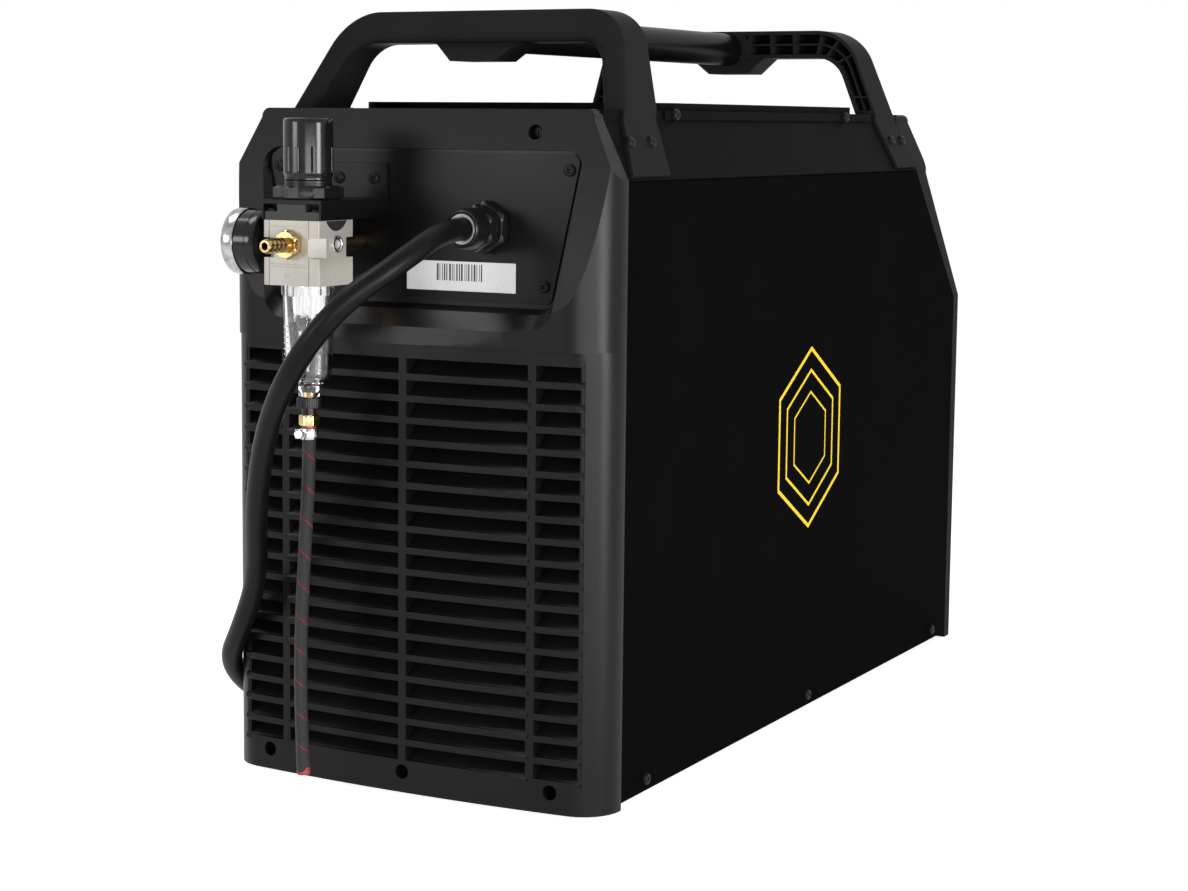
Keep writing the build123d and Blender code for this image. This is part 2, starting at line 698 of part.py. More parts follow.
with BuildPart() as rear_bezel:
    extrude(rear_plan(LOWER_DEPTH, BEZEL_BASE_Z, REAR_CORNER), amount=CREASE_Z - BEZEL_BASE_Z)
    extrude(rear_plan(UPPER_DEPTH, CREASE_Z, BROW_CORNER), amount=TOP_Z - CREASE_Z)
    with BuildSketch(Plane.YZ):
        Polygon(
            (brow_back, CREASE_Z),
            (brow_top_back, TOP_Z),
            (brow_back - WALL, TOP_Z),
            (brow_back - WALL, CREASE_Z),
            align=None,
        )
    extrude(amount=HALF_W, both=True, mode=Mode.SUBTRACT)
    extrude(casing_outline(REAR_Y), amount=2 * UPPER_DEPTH, mode=Mode.INTERSECT)
    loft([pocket_ring(*ring) for ring in POCKET_RINGS], ruled=True, mode=Mode.SUBTRACT)
    add(bezel_hollow.part, mode=Mode.SUBTRACT)
    # Window behind the plate
    extrude(
        trapezoid(
            REAR_Y,
            plate_half(PLATE_TOP_Z) - PLATE_LEDGE,
            plate_half(PLATE_BOTTOM_Z) - PLATE_LEDGE,
            PLATE_TOP_Z - PLATE_LEDGE,
            PLATE_BOTTOM_Z + PLATE_LEDGE,
            PLATE_CORNER,
        ),
        amount=POCKET_SET_BACK + WALL,
        mode=Mode.SUBTRACT,
    )
    # Slots of the grille
    with BuildSketch(plane_y(REAR_Y)):
        for low, high in column_ends:
            with Locations(*[((low + high) / 2, z) for z in slot_zs]):
                Rectangle(high - low, SLOT_HEIGHT)
    extrude(amount=UPPER_DEPTH, mode=Mode.SUBTRACT)
    # Upright bars and the louvre blades that climb inwards from each slot's sill
    for bar_x in (-GRILLE_HALF, -GRILLE_BAR_X, 0, GRILLE_BAR_X, GRILLE_HALF):
        bar_face = rear_face_y(bar_x, LOWER_DEPTH) + WALL / 2
        bar_width = GRILLE_BAR_W if abs(bar_x) < GRILLE_HALF else WALL
        reach = BAR_DEPTH if abs(bar_x) < GRILLE_HALF else BLADE_DEPTH
        with Locations((bar_x, bar_face, grille_low - WALL)):
            Box(
                bar_width,
                reach,
                grille_high - grille_low + 2 * WALL,
                align=(Align.CENTER, Align.MIN, Align.MIN),
            )
    for low, high in column_ends:
        blade_y = rear_face_y((low + high) / 2, LOWER_DEPTH) + WALL / 2
        with BuildSketch(Plane.YZ.offset(low - WALL / 2)):
            for z in slot_zs:
                sill = z - SLOT_HEIGHT / 2 - BLADE_T
                Polygon(
                    (blade_y, sill - BLADE_T / 4),
                    (blade_y + BLADE_DEPTH, sill + BLADE_RISE),
                    (blade_y + BLADE_DEPTH, sill + BLADE_RISE + BLADE_T),
                    (blade_y, sill + BLADE_T * 0.75),
                    align=None,
                )
        extrude(amount=high - low + WALL)
    # Screw bosses, open to the rear
    for boss_x, boss_z in boss_places():
        boss_depth = LOWER_DEPTH if boss_z < CREASE_Z else UPPER_DEPTH
        face = rear_face_y(boss_x, boss_depth)
        if boss_z > CREASE_Z:
            face = brow_back + BROW_LEAN * (boss_z - CREASE_Z)
        with Locations((boss_x, REAR_Y, boss_z)):
            with Locations(Rotation(90, 0, 0)):
                Cylinder(BOSS_R, REAR_Y - face - WALL / 2, align=(Align.CENTER, Align.CENTER, Align.MIN))
                Cylinder(SCREW_SHANK_R + SCREW_CLEAR, 3 * UPPER_DEPTH, mode=Mode.SUBTRACT)
        with Locations((boss_x, REAR_Y - BOSS_SEAT, boss_z)):
            with Locations(Rotation(90, 0, 0)):
                Cylinder(
                    BOSS_BORE_R,
                    UPPER_DEPTH,
                    align=(Align.CENTER, Align.CENTER, Align.MIN),
                    mode=Mode.SUBTRACT,
                )
    with Locations(*places(plate_screw_planes())):
        Cylinder(SCREW_SHANK_R + SCREW_CLEAR, 3 * SCREW_LENGTH, mode=Mode.SUBTRACT)
save(rear_bezel.part, "rear_bezel")

# Steel plate in the pocket
with BuildPart() as rear_plate:
    extrude(
        trapezoid(POCKET_Y, PLATE_HALF_TOP, PLATE_HALF_BOTTOM, PLATE_TOP_Z, PLATE_BOTTOM_Z, PLATE_CORNER),
        amount=PLATE_T,
    )
    with Locations(*places(plate_screw_planes())):
        Cylinder(SCREW_SHANK_R + SCREW_CLEAR, 3 * SCREW_LENGTH, mode=Mode.SUBTRACT)
    with BuildSketch(plane_y(POCKET_Y)):
        with Locations((GLAND_X, GLAND_Z)):
            Circle(GLAND_THREAD_R + GLAND_FIT)
        with Locations((FILTER_X, PORT_Z)):
            Circle(NIPPLE_R + GLAND_FIT)
    extrude(amount=PLATE_T, mode=Mode.SUBTRACT)
save(rear_plate.part, "rear_plate")

# Front bezel: a shell that caps the slanted front
with BuildPart() as front_hollow:
    extrude(front_profile(WALL), amount=HALF_W, both=True)
    extrude(casing_outline(SLANT_TOP_Y, WALL), amount=SLANT_TOP_Y - FRONT_FACE_Y, mode=Mode.INTERSECT)

slant_angle = atan2(FRONT_FACE_Y - BROW_FACE_Y, FRONT_SEAM_Z - FRONT_KNEE_Z)
panel_plane = Plane(
    origin=(0, (FRONT_FACE_Y + BROW_FACE_Y) / 2, (FRONT_KNEE_Z + FRONT_SEAM_Z) / 2),
    x_dir=(-1, 0, 0),
    z_dir=(0, cos(slant_angle), sin(slant_angle)),
)
overlay_plane = panel_plane.offset(OVERLAY_T)


def on_panel(place, height=0.0):
    """Location on the control panel's face, moved out along its normal."""
    origin = overlay_plane.from_local_coords((*place, height))
    return Location(Plane(origin=origin, x_dir=(-1, 0, 0), z_dir=overlay_plane.z_dir))


def on_front(place, height=0.0):
    """Location on the upright front face, moved out along its normal."""
    x, z = place
    return Location(Plane(origin=(x, FRONT_FACE_Y + height, z), x_dir=(-1, 0, 0), z_dir=(0, 1, 0)))


front_edge_middles = (
    (FRONT_FACE_Y, (BEZEL_BASE_Z + FRONT_KNEE_Z) / 2),
    ((FRONT_FACE_Y + BROW_FACE_Y) / 2, (FRONT_KNEE_Z + FRONT_SEAM_Z) / 2),
    (BROW_FACE_Y, (FRONT_SEAM_Z + TOP_Z) / 2),
)

with BuildPart() as front_bezel:
    extrude(front_profile(), amount=HALF_W, both=True)
    front_edges = front_bezel.edges().filter_by(
        lambda edge: min(hypot(edge.center().Y - y, edge.center().Z - z) for y, z in front_edge_middles) < 1
        and abs(edge.center().X) > 1
    )
    fillet(front_edges, FRONT_EDGE_R)
    extrude(casing_outline(SLANT_TOP_Y), amount=SLANT_TOP_Y - FRONT_FACE_Y, mode=Mode.INTERSECT)
    add(front_hollow.part, mode=Mode.SUBTRACT)
    for boss_x, boss_z in boss_places():
        seat_y = SLANT_TOP_Y if boss_z > SEAM_Z else FRONT_Y
        face_y = BROW_FACE_Y if boss_z > SEAM_Z else FRONT_FACE_Y
        with Locations((boss_x, seat_y, boss_z)):
            with Locations(Rotation(-90, 0, 0)):
                Cylinder(BOSS_R, face_y - seat_y - WALL / 2, align=(Align.CENTER, Align.CENTER, Align.MIN))
                Cylinder(SCREW_SHANK_R + SCREW_CLEAR, 3 * BROW_LIP, mode=Mode.SUBTRACT)
        with Locations((boss_x, seat_y + BOSS_SEAT, boss_z)):
            with Locations(Rotation(-90, 0, 0)):
                Cylinder(
                    BOSS_BORE_R,
                    BROW_LIP,
                    align=(Align.CENTER, Align.CENTER, Align.MIN),
                    mode=Mode.SUBTRACT,
                )
    with Locations(on_panel(ENCODER_AT)):
        Cylinder(ENCODER_SHAFT_R + RUNNING_FIT, 4 * WALL, mode=Mode.SUBTRACT)
    with Locations(*[on_panel(place) for place in BUTTON_AT]):
        Cylinder(BUTTON_R + BUTTON_FIT, 4 * WALL, mode=Mode.SUBTRACT)
    with Locations(on_front(SWITCH_AT)):
        Cylinder(SWITCH_SHAFT_R + RUNNING_FIT, 4 * WALL, mode=Mode.SUBTRACT)
    with Locations(on_front(TORCH_AT)):
        Cylinder(TORCH_R - SOCKET_COLLAR + SCREW_CLEAR, 4 * WALL, mode=Mode.SUBTRACT)
    with Locations(on_front(WORK_AT)):
        Cylinder(WORK_R - SOCKET_COLLAR + SCREW_CLEAR, 4 * WALL, mode=Mode.SUBTRACT)
save(front_bezel.part, "front_bezel")

# Handle arches
arch_base_x = shoulder_point(SHOULDER_HIGH_Z, SKIRT_T)[0]


def arch_outline(share, base_z):
    """Face under a line that runs round the arch, from its outside (0) to its inside (1)."""
    top_z = ARCH_TOP_Z - share * ARCH_BAR
    base_x = arch_base_x - share * ARCH_LEG
    top_x = base_x - ARCH_LEG_LEAN * (top_z - TOP_Z)
    low_x = base_x + ARCH_LEG_LEAN * (TOP_Z - base_z)
    with BuildSketch(plane_y(0)) as outline:
        Polygon((-low_x, base_z), (low_x, base_z), (top_x, top_z), (-top_x, top_z), align=None)
        fillet(
            outline.vertices().group_by(Axis.Y)[-1],
            ARCH_OUTER_R + share * (ARCH_INNER_R - ARCH_OUTER_R),
        )
    return outline.sketch


def arch_band(outer, inner, base_z):
    """Front view of the arch between two of those lines."""
    with BuildSketch(plane_y(0)) as band:
        add(arch_outline(outer, base_z))
        add(arch_outline(inner, base_z - ARCH_WALL), mode=Mode.SUBTRACT)
    return band.sketch


def lean(foot_y, top_y, z):
    """Place of a leaning edge at a height."""
    return foot_y + (top_y - foot_y) * (z - SEAM_Z) / (ARCH_TOP_Z - SEAM_Z)


def arch_side(foot, top, outer_shift, inner_shift):
    """Side view of a leaning arch, with its outer and inner lines moved."""
    inwards = 1 if foot[1] > foot[0] else -1
    high_z = ARCH_TOP_Z + ARCH_BAR
    with BuildSketch(Plane.YZ) as side_view:
        Polygon(
            (foot[0] + inwards * outer_shift, SEAM_Z),
            (foot[1] + inwards * inner_shift, SEAM_Z),
            (lean(foot[1], top[1], high_z) + inwards * inner_shift, high_z),
            (lean(foot[0], top[0], high_z) + inwards * outer_shift, high_z),
            align=None,
        )
    return side_view.sketch


def arch_ribs():
    """Front view of the ribs inside an arch: one along it and many across it."""
    wall_share = ARCH_WALL / ARCH_BAR
    rib_share = ARCH_RIB / ARCH_BAR / 2
    with BuildSketch(plane_y(0)) as ribs:
        for step in range(-3, 4):
            with Locations((step * ARCH_RIB_STEP, ARCH_TOP_Z - ARCH_BAR / 2)):
                Rectangle(ARCH_RIB, 2 * ARCH_BAR)
        for side in (-1, 1):
            corner_x = arch_base_x - ARCH_LEG_LEAN * (ARCH_TOP_Z - TOP_Z) - ARCH_OUTER_R
            for angle in (25, 50, 75):
                with Locations((side * (corner_x + ARCH_LEG / 4), ARCH_TOP_Z - ARCH_OUTER_R)):
                    with Locations(Rotation(0, 0, 90 - side * (90 - angle))):
                        Rectangle(2 * ARCH_OUTER_R, ARCH_RIB, align=(Align.MIN, Align.CENTER))
            with Locations((side * arch_base_x, TOP_Z + ARCH_RIB_STEP * 0.7)):
                Rectangle(3 * ARCH_LEG, ARCH_RIB)
        add(arch_band(wall_share, 1 - wall_share, TOP_Z), mode=Mode.INTERSECT)
        add(arch_band(0.5 - rib_share, 0.5 + rib_share, TOP_Z))
    return ribs.sketch


def handle_arch(foot, top):
    """Moulded arch: smooth outside, ribbed hollow inside, skirts over the shoulders, socket for the grip."""
    inwards = 1 if foot[1] > foot[0] else -1
    socket_y = lean(foot[0], top[0], GRIP_Z) + inwards * SOCKET_FLOOR
    wall_share = ARCH_WALL / ARCH_BAR
    low = shoulder_point(SHOULDER_LOW_Z + SKIRT_MARGIN)
    low_out = shoulder_point(SHOULDER_LOW_Z + SKIRT_MARGIN, SKIRT_T)
    high_out = shoulder_point(SHOULDER_HIGH_Z, SKIRT_T)
    with BuildPart() as hollow:
        extrude(arch_band(wall_share, 1 - wall_share, TOP_Z + ARCH_WALL), amount=2 * HALF_W, both=True)
        extrude(arch_side(foot, top, ARCH_WALL, HALF_W), amount=HALF_W, both=True, mode=Mode.INTERSECT)
    with BuildPart() as ribs:
        extrude(arch_ribs(), amount=2 * HALF_W, both=True)
        extrude(
            arch_side(foot, top, ARCH_WALL / 2, -ARCH_RIB_SET_BACK),
            amount=HALF_W,
            both=True,
            mode=Mode.INTERSECT,
        )
    with BuildPart() as grip_socket:
        with BuildSketch(plane_y(0)):
            with Locations((0, GRIP_Z)):
                Circle(GRIP_R + SOCKET_WALL)
            Polygon(
                (-SOCKET_HALF, ARCH_TOP_Z - ARCH_BAR + ARCH_WALL / 2),
                (-SOCKET_HALF / 2, GRIP_Z - GRIP_R - SOCKET_WALL),
                (SOCKET_HALF / 2, GRIP_Z - GRIP_R - SOCKET_WALL),
                (SOCKET_HALF, ARCH_TOP_Z - ARCH_BAR + ARCH_WALL / 2),
                align=None,
            )
        extrude(amount=2 * HALF_W, both=True)
        extrude(
            arch_side(foot, top, SOCKET_FLOOR - ARCH_WALL, -ARCH_RIB_SET_BACK),
            amount=HALF_W,
            both=True,
            mode=Mode.INTERSECT,
        )
        with Locations((0, 0, ARCH_TOP_Z - ARCH_WALL / 2)):
            Box(
                WIDTH,
                2 * PANEL_LENGTH,
                2 * ARCH_BAR,
                align=(Align.CENTER, Align.CENTER, Align.MIN),
                mode=Mode.SUBTRACT,
            )
    with BuildPart() as skirts:
        with BuildSketch(plane_y(0)):
            for side in (-1, 1):
                Polygon(
                    (side * low[0], low[1]),
                    (side * low_out[0], low_out[1]),
                    (side * high_out[0], high_out[1]),
                    (side * high_out[0], TOP_Z),
                    (side * SHOULDER_X, TOP_Z),
                    (side * SHOULDER_X, SHOULDER_HIGH_Z),
                    align=None,
                )
        extrude(amount=2 * HALF_W, both=True)
        extrude(arch_side(foot, top, 0, 0), amount=HALF_W + BOSS_R, both=True, mode=Mode.INTERSECT)
    with BuildPart() as arch:
        extrude(arch_band(0, 1, TOP_Z), amount=2 * HALF_W, both=True)
        extrude(arch_side(foot, top, 0, 0), amount=HALF_W + BOSS_R, both=True, mode=Mode.INTERSECT)
        outer_face = arch.faces().sort_by(lambda face: inwards * face.normal_at().Y)[0]
        fillet(outer_face.edges().filter_by(lambda edge: edge.center().Z > TOP_Z + SHEET), ARCH_EDGE_R)
        add(skirts.part)
        add(hollow.part, mode=Mode.SUBTRACT)
        add(ribs.part)
        add(grip_socket.part)
        with Locations((0, socket_y, GRIP_Z)):
            with Locations(Rotation(-90 * inwards, 0, 0)):
                Cylinder(
                    GRIP_R + GRIP_FIT,
                    WIDTH,
                    align=(Align.CENTER, Align.CENTER, Align.MIN),
                    mode=Mode.SUBTRACT,
                )
        with Locations(*places(handle_screw_planes())):
            Cylinder(SCREW_SHANK_R + SCREW_CLEAR, 3 * SCREW_LENGTH, mode=Mode.SUBTRACT)
    return arch.part, socket_y


rear_handle_arch, grip_rear_y = handle_arch(rear_foot, rear_top)
save(rear_handle_arch, "rear_handle_arch")
front_handle_arch, grip_front_y = handle_arch(front_foot, front_top)
save(front_handle_arch, "front_handle_arch")

with BuildPart() as grip_tube:
    with BuildSketch(plane_y(grip_front_y)):
        with Locations((0, GRIP_Z)):
            Circle(GRIP_R)
            Circle(GRIP_R - GRIP_WALL, mode=Mode.SUBTRACT)
    extrude(amount=grip_front_y - grip_rear_y)
save(grip_tube.part, "grip_tube")

# Screws
save(screw_group(handle_screw_planes()), "handle_screws")
save(screw_group(side_screw_planes() + lip_screw_planes() + bezel_screw_planes()), "casing_screws")
save(screw_group(plate_screw_planes(), SCREW_LENGTH * 0.7), "plate_screws")


def lathe(origin, direction, profile):
    """Solid of revolution from (radius, distance along the axis) points."""
    axis = Vector(*direction)
    radial = Vector(1, 0, 0) if abs(axis.X) < 0.5 else Vector(0, 1, 0)
    with BuildPart() as turned:
        with BuildSketch(Plane(origin=origin, x_dir=radial, z_dir=radial.cross(axis))):
            Polygon(*profile, align=None)
        revolve(axis=Axis(origin, direction))
    return turned.part


def hexagon(origin, direction, flats, height):
    """Hexagonal prism standing on a point, two of its corners to the side."""
    axis = Vector(*direction)
    radial = Vector(1, 0, 0) if abs(axis.X) < 0.5 else Vector(0, 1, 0)
    with BuildPart() as prism:
        with BuildSketch(Plane(origin=origin, x_dir=radial, z_dir=axis)):
            RegularPolygon(flats / 2, 6, major_radius=False)
        extrude(amount=height)
    return prism.part


# Cable gland through the steel plate
gland_seat = (GLAND_X, PLATE_Y, GLAND_Z)
gland_reach = PLATE_T + LOCKNUT_H + WALL
gland_neck_r = GLAND_THREAD_R - GLAND_FIT * 10
gland_neck = GLAND_DOME_H - 2 * CABLE_SEAT
with BuildPart() as cable_gland:
    add(hexagon(gland_seat, (0, -1, 0), GLAND_FLATS, GLAND_HEX_H))
    chamfer(cable_gland.edges().group_by(Axis.Y)[0], GLAND_HEX_H / 9)
    add(
        lathe(
            gland_seat,
            (0, 1, 0),
            [(0, 0), (GLAND_THREAD_R, 0), (GLAND_THREAD_R, gland_reach), (0, gland_reach)],
        )
    )
    add(
        lathe(
            (GLAND_X, GLAND_NUT_Y, GLAND_Z),
            (0, -1, 0),
            [(0, 0), (gland_neck_r, 0), (gland_neck_r, gland_neck), (0, gland_neck)],
        )
    )
save(cable_gland.part, "cable_gland")

with BuildPart() as gland_dome_nut:
    add(
        lathe(
            (GLAND_X, GLAND_NUT_Y, GLAND_Z),
            (0, -1, 0),
            [
                (gland_neck_r + GLAND_FIT, 0),
                (GLAND_DOME_R, 0),
                (GLAND_DOME_R, GLAND_DOME_H * 0.42),
                (GLAND_DOME_R * 0.96, GLAND_DOME_H * 0.66),
                (GLAND_DOME_R * 0.86, GLAND_DOME_H * 0.86),
                (GLAND_DOME_R * 0.76, GLAND_DOME_H),
                (CABLE_D / 2 + GLAND_FIT, GLAND_DOME_H),
                (CABLE_D / 2 + GLAND_FIT, GLAND_DOME_H - CABLE_SEAT),
                (0, GLAND_DOME_H - CABLE_SEAT),
                (0, gland_neck + GLAND_FIT),
                (gland_neck_r + GLAND_FIT, gland_neck + GLAND_FIT),
            ],
        )
    )
save(gland_dome_nut.part, "gland_dome_nut")

with BuildPart() as gland_locknut:
    add(hexagon((GLAND_X, POCKET_Y, GLAND_Z), (0, 1, 0), GLAND_FLATS, LOCKNUT_H))
    with Locations((GLAND_X, POCKET_Y, GLAND_Z)):
        with Locations(Rotation(90, 0, 0)):
            Cylinder(GLAND_THREAD_R + THREAD_FIT, 4 * LOCKNUT_H, mode=Mode.SUBTRACT)
save(gland_locknut.part, "gland_locknut")

# Mains cable: from the gland down past the filter and round the left rear corner to the coil
coil_entry = (COIL_CENTRE[0] + COIL_OUTER_R, REAR_Y + COIL_CENTRE[1])
cable_points = [(GLAND_X, GLAND_EXIT_Y + CABLE_SEAT, GLAND_Z)] + [
    (x, REAR_Y + y, z)
    for x, y, z in (
        (GLAND_X, -68.5, GLAND_Z),
        (48.5, -107.5, GLAND_Z - 15.0),
        (26.0, -137.5, GLAND_Z - 38.0),
        (-4.0, -144.5, GLAND_Z - 73.0),
        (-41.0, -121.5, GLAND_Z - 118.0),
        (-69.0, -90.0, GLAND_Z - 173.0),
        (-93.5, -62.0, GLAND_Z - 236.0),
        (-136.0, -43.0, GLAND_Z - 283.0),
        (-161.0, -7.0, GLAND_Z - 323.0),
        (-168.0, 44.0, CABLE_D),
        (-174.0, 94.0, CABLE_D / 2),
        (-183.0, 146.0, CABLE_D / 2),
        (-179.0, 200.0, CABLE_D / 2),
        (-184.0, 252.0, CABLE_D / 2),
        (coil_entry[0], 300.0, CABLE_D / 2),
    )
] + [(coil_entry[0], coil_entry[1] - CABLE_D, CABLE_D / 2)]
save(cord_tube(cable_points, CABLE_D, "mains_cable"), "mains_cable")

# Coil put away on the floor: in along one layer, a climb, out along the next, then a tail to the plug
plug_axis_z = PLUG_R
coil_turns = 2 * COIL_LAYER_TURNS + 0.5


def gentle(share):
    """Step from 0 to 1 that starts and ends level."""
    return 3 * share**2 - 2 * share**3


def coil_place(turn):
    """Radius and height of the coil after a number of turns."""
    low = CABLE_D / 2
    if turn <= COIL_LAYER_TURNS:
        return COIL_OUTER_R - COIL_PITCH * turn, low
    if turn <= COIL_LAYER_TURNS + 0.5:
        past = turn - COIL_LAYER_TURNS
        dip = COIL_PITCH * (past - 2 * past**2)
        return COIL_OUTER_R - COIL_PITCH * COIL_LAYER_TURNS - dip, low + COIL_PITCH * gentle(2 * past)
    out = turn - COIL_LAYER_TURNS - 0.5
    rise = gentle(max(0.0, out - COIL_LAYER_TURNS + 0.5) * 2) * (plug_axis_z - low - COIL_PITCH)
    return COIL_OUTER_R - COIL_PITCH * (COIL_LAYER_TURNS - out), low + COIL_PITCH + rise


def coil_point(turn):
    """Point of the coil's middle line after a number of turns."""
    radius, height = coil_place(turn)
    angle = 2 * pi * turn
    return Vector(COIL_CENTRE[0] + radius * cos(angle), REAR_Y + COIL_CENTRE[1] + radius * sin(angle), height)


def coil_heading(turn):
    """Direction of the coil's middle line after a number of turns."""
    if turn in (0, coil_turns):
        return Vector(0, 1, 0)
    return (coil_point(turn + 0.01) - coil_point(turn - 0.01)).normalized()


quarters = [quarter / 4 for quarter in range(int(coil_turns * 4) + 1)]
coil_start = coil_point(0) - Vector(0, CABLE_D, 0)
coil_end = coil_point(coil_turns) + Vector(0, COIL_TAIL, 0)
with BuildPart() as mains_coil:
    with BuildLine() as coil_route:
        Line(coil_start, coil_point(0))
        for turn, after in zip(quarters, quarters[1:]):
            biarc(coil_point(turn), coil_heading(turn), coil_point(after), coil_heading(after))
        Line(coil_point(coil_turns), coil_end)
    with BuildSketch(Plane(origin=coil_start, z_dir=(0, 1, 0))):
        Circle(CABLE_D / 2)
    sweep()
save(mains_coil.part, "mains_coil")

coil_wire = coil_route.wire()
coil_marks = [coil_wire @ (mark / 1200) for mark in range(1201)]
apart = int(4 * CABLE_D * 1200 / coil_wire.length)
least_gap = min(
    (coil_marks[i] - coil_marks[j]).length
    for i in range(0, len(coil_marks))
    for j in range(i + apart, len(coil_marks))
) - CABLE_D
coil_share = mains_coil.part.volume / (pi * CABLE_D**2 / 4 * coil_wire.length)
print(f"mains_coil: length {coil_wire.length:.0f}, least gap to itself {least_gap:.2f}")
print(f"mains_coil: volume over section times length {coil_share:.4f}")

# Mains plug at the end of the coil's tail
plug_seat = (coil_end.X, coil_end.Y, coil_end.Z)
sleeve_start = PLUG_LENGTH - PLUG_SLEEVE
with BuildPart() as mains_plug:
    add(
        lathe(
            plug_seat,
            (0, 1, 0),
            [
                (0, 0),
                (CABLE_D * 0.8, 0),
                (CABLE_D, CABLE_D),
                (CABLE_D * 1.1, CABLE_D * 1.6),
                (PLUG_BODY_R, CABLE_D * 2.2),
                (PLUG_BODY_R, sleeve_start),
                (PLUG_R, sleeve_start + PLUG_WALL),
                (PLUG_R, PLUG_LENGTH),
                (PLUG_R - PLUG_WALL, PLUG_LENGTH),
                (PLUG_R - PLUG_WALL, sleeve_start + 3 * PLUG_WALL),
                (0, sleeve_start + 3 * PLUG_WALL),
            ],
        )
    )
save(mains_plug.part, "mains_plug")

with BuildPart() as plug_pins:
    floor_plane = Plane(
        origin=(coil_end.X, coil_end.Y + sleeve_start + 3 * PLUG_WALL, coil_end.Z), z_dir=(0, 1, 0)
    )
    with Locations(Location(floor_plane)):
        with PolarLocations(PIN_CIRCLE, 5):
            Cylinder(PIN_R, PIN_LENGTH, align=(Align.CENTER, Align.CENTER, Align.MIN))
    fillet(plug_pins.edges().group_by(Axis.Y)[-1], PIN_R / 2)
save(plug_pins.part, "plug_pins")

# Filter regulator on its bracket
filter_top = (FILTER_X, FILTER_Y, FILTER_TOP_Z)
neck_top_z = COLLAR_Z + COLLAR_H + BONNET_H
spindle_foot_z = FILTER_TOP_Z + SPINDLE_SEAT
knob_inner_r = KNOB_R - KNOB_WALL
knob_top_z = KNOB_Z + KNOB_H
hub_low_z = neck_top_z + COLLAR_H
with BuildPart() as filter_bracket:
    with Locations((FILTER_X, PLATE_Y, NUT_Z)):
        Box(
            FILTER_W + 2 * BRACKET_SKIRT,
            PLATE_Y - FILTER_FRONT_Y,
            BRACKET_SKIRT_H,
            align=(Align.CENTER, Align.MAX, Align.MAX),
        )
    with Locations((FILTER_X, PLATE_Y - BRACKET_T, BRACKET_Z)):
        Box(
            FILTER_W,
            PLATE_Y - FILTER_FRONT_Y,
            BRACKET_SKIRT_H,
            align=(Align.CENTER, Align.MAX, Align.MAX),
            mode=Mode.SUBTRACT,
        )
    with Locations((FILTER_X, PLATE_Y, NUT_Z)):
        Box(
            FILTER_W + 2 * BRACKET_SKIRT,
            BRACKET_T,
            BRACKET_FLANGE_H,
            align=(Align.CENTER, Align.MAX, Align.MIN),
        )
    with Locations((FILTER_X, FILTER_Y, BRACKET_Z)):
        Cylinder(NECK_R + NECK_FIT, 4 * BRACKET_T, mode=Mode.SUBTRACT)
    with Locations(*places(plate_screw_planes())):
        Cylinder(SCREW_SHANK_R + SCREW_CLEAR, 3 * SCREW_LENGTH, mode=Mode.SUBTRACT)
save(filter_bracket.part, "filter_bracket")

with BuildPart() as regulator_bonnet:
    with Locations(filter_top):
        Box(FILTER_W, FILTER_D, BONNET_H, align=(Align.CENTER, Align.CENTER, Align.MIN))
    fillet(regulator_bonnet.edges().filter_by(Axis.Z), FILTER_EDGE_R)
    with Locations((FILTER_X, FILTER_Y, BRACKET_Z)):
        Cylinder(NECK_R, COLLAR_Z + COLLAR_H - BRACKET_Z, align=(Align.CENTER, Align.CENTER, Align.MIN))
        Cylinder(NECK_R * 0.85, neck_top_z - BRACKET_Z, align=(Align.CENTER, Align.CENTER, Align.MIN))
    with Locations((FILTER_X, FILTER_Y, spindle_foot_z - COCK_GAP)):
        Cylinder(
            SPINDLE_R + RUNNING_FIT,
            2 * KNOB_H,
            align=(Align.CENTER, Align.CENTER, Align.MIN),
            mode=Mode.SUBTRACT,
        )
save(regulator_bonnet.part, "regulator_bonnet")

with BuildPart() as bracket_nut:
    add(hexagon((FILTER_X, FILTER_Y, NUT_Z), (0, 0, 1), PANEL_NUT_FLATS, PANEL_NUT_H))
    chamfer(bracket_nut.edges().group_by(Axis.Z)[-1], PANEL_NUT_H / 9)
    with Locations((FILTER_X, FILTER_Y, COLLAR_Z)):
        Cylinder(COLLAR_R, COLLAR_H, align=(Align.CENTER, Align.CENTER, Align.MIN))
        Cylinder(NECK_R + NECK_FIT, 4 * PANEL_NUT_H, mode=Mode.SUBTRACT)
save(bracket_nut.part, "bracket_nut")

with BuildPart() as adjusting_screw:
    with Locations((FILTER_X, FILTER_Y, spindle_foot_z)):
        Cylinder(
            SPINDLE_R,
            knob_top_z - 2 * KNOB_WALL - KNOB_GAP - spindle_foot_z,
            align=(Align.CENTER, Align.CENTER, Align.MIN),
        )
save(adjusting_screw.part, "adjusting_screw")

with BuildPart() as regulator_knob:
    add(
        lathe(
            (FILTER_X, FILTER_Y, 0),
            (0, 0, 1),
            [
                (knob_inner_r, KNOB_Z),
                (KNOB_R, KNOB_Z),
                (KNOB_R * 0.97, knob_top_z),
                (0, knob_top_z),
                (0, knob_top_z - 2 * KNOB_WALL),
                (SPINDLE_R + RUNNING_FIT, knob_top_z - 2 * KNOB_WALL),
                (SPINDLE_R + RUNNING_FIT, hub_low_z),
                (SPINDLE_R + KNOB_WALL, hub_low_z),
                (SPINDLE_R + KNOB_WALL, knob_top_z - 2 * KNOB_WALL),
                (knob_inner_r, knob_top_z - 2 * KNOB_WALL),
            ],
        )
    )
    fillet(regulator_knob.edges().group_by(Axis.Z)[-1], KNOB_WALL)
save(regulator_knob.part, "regulator_knob")

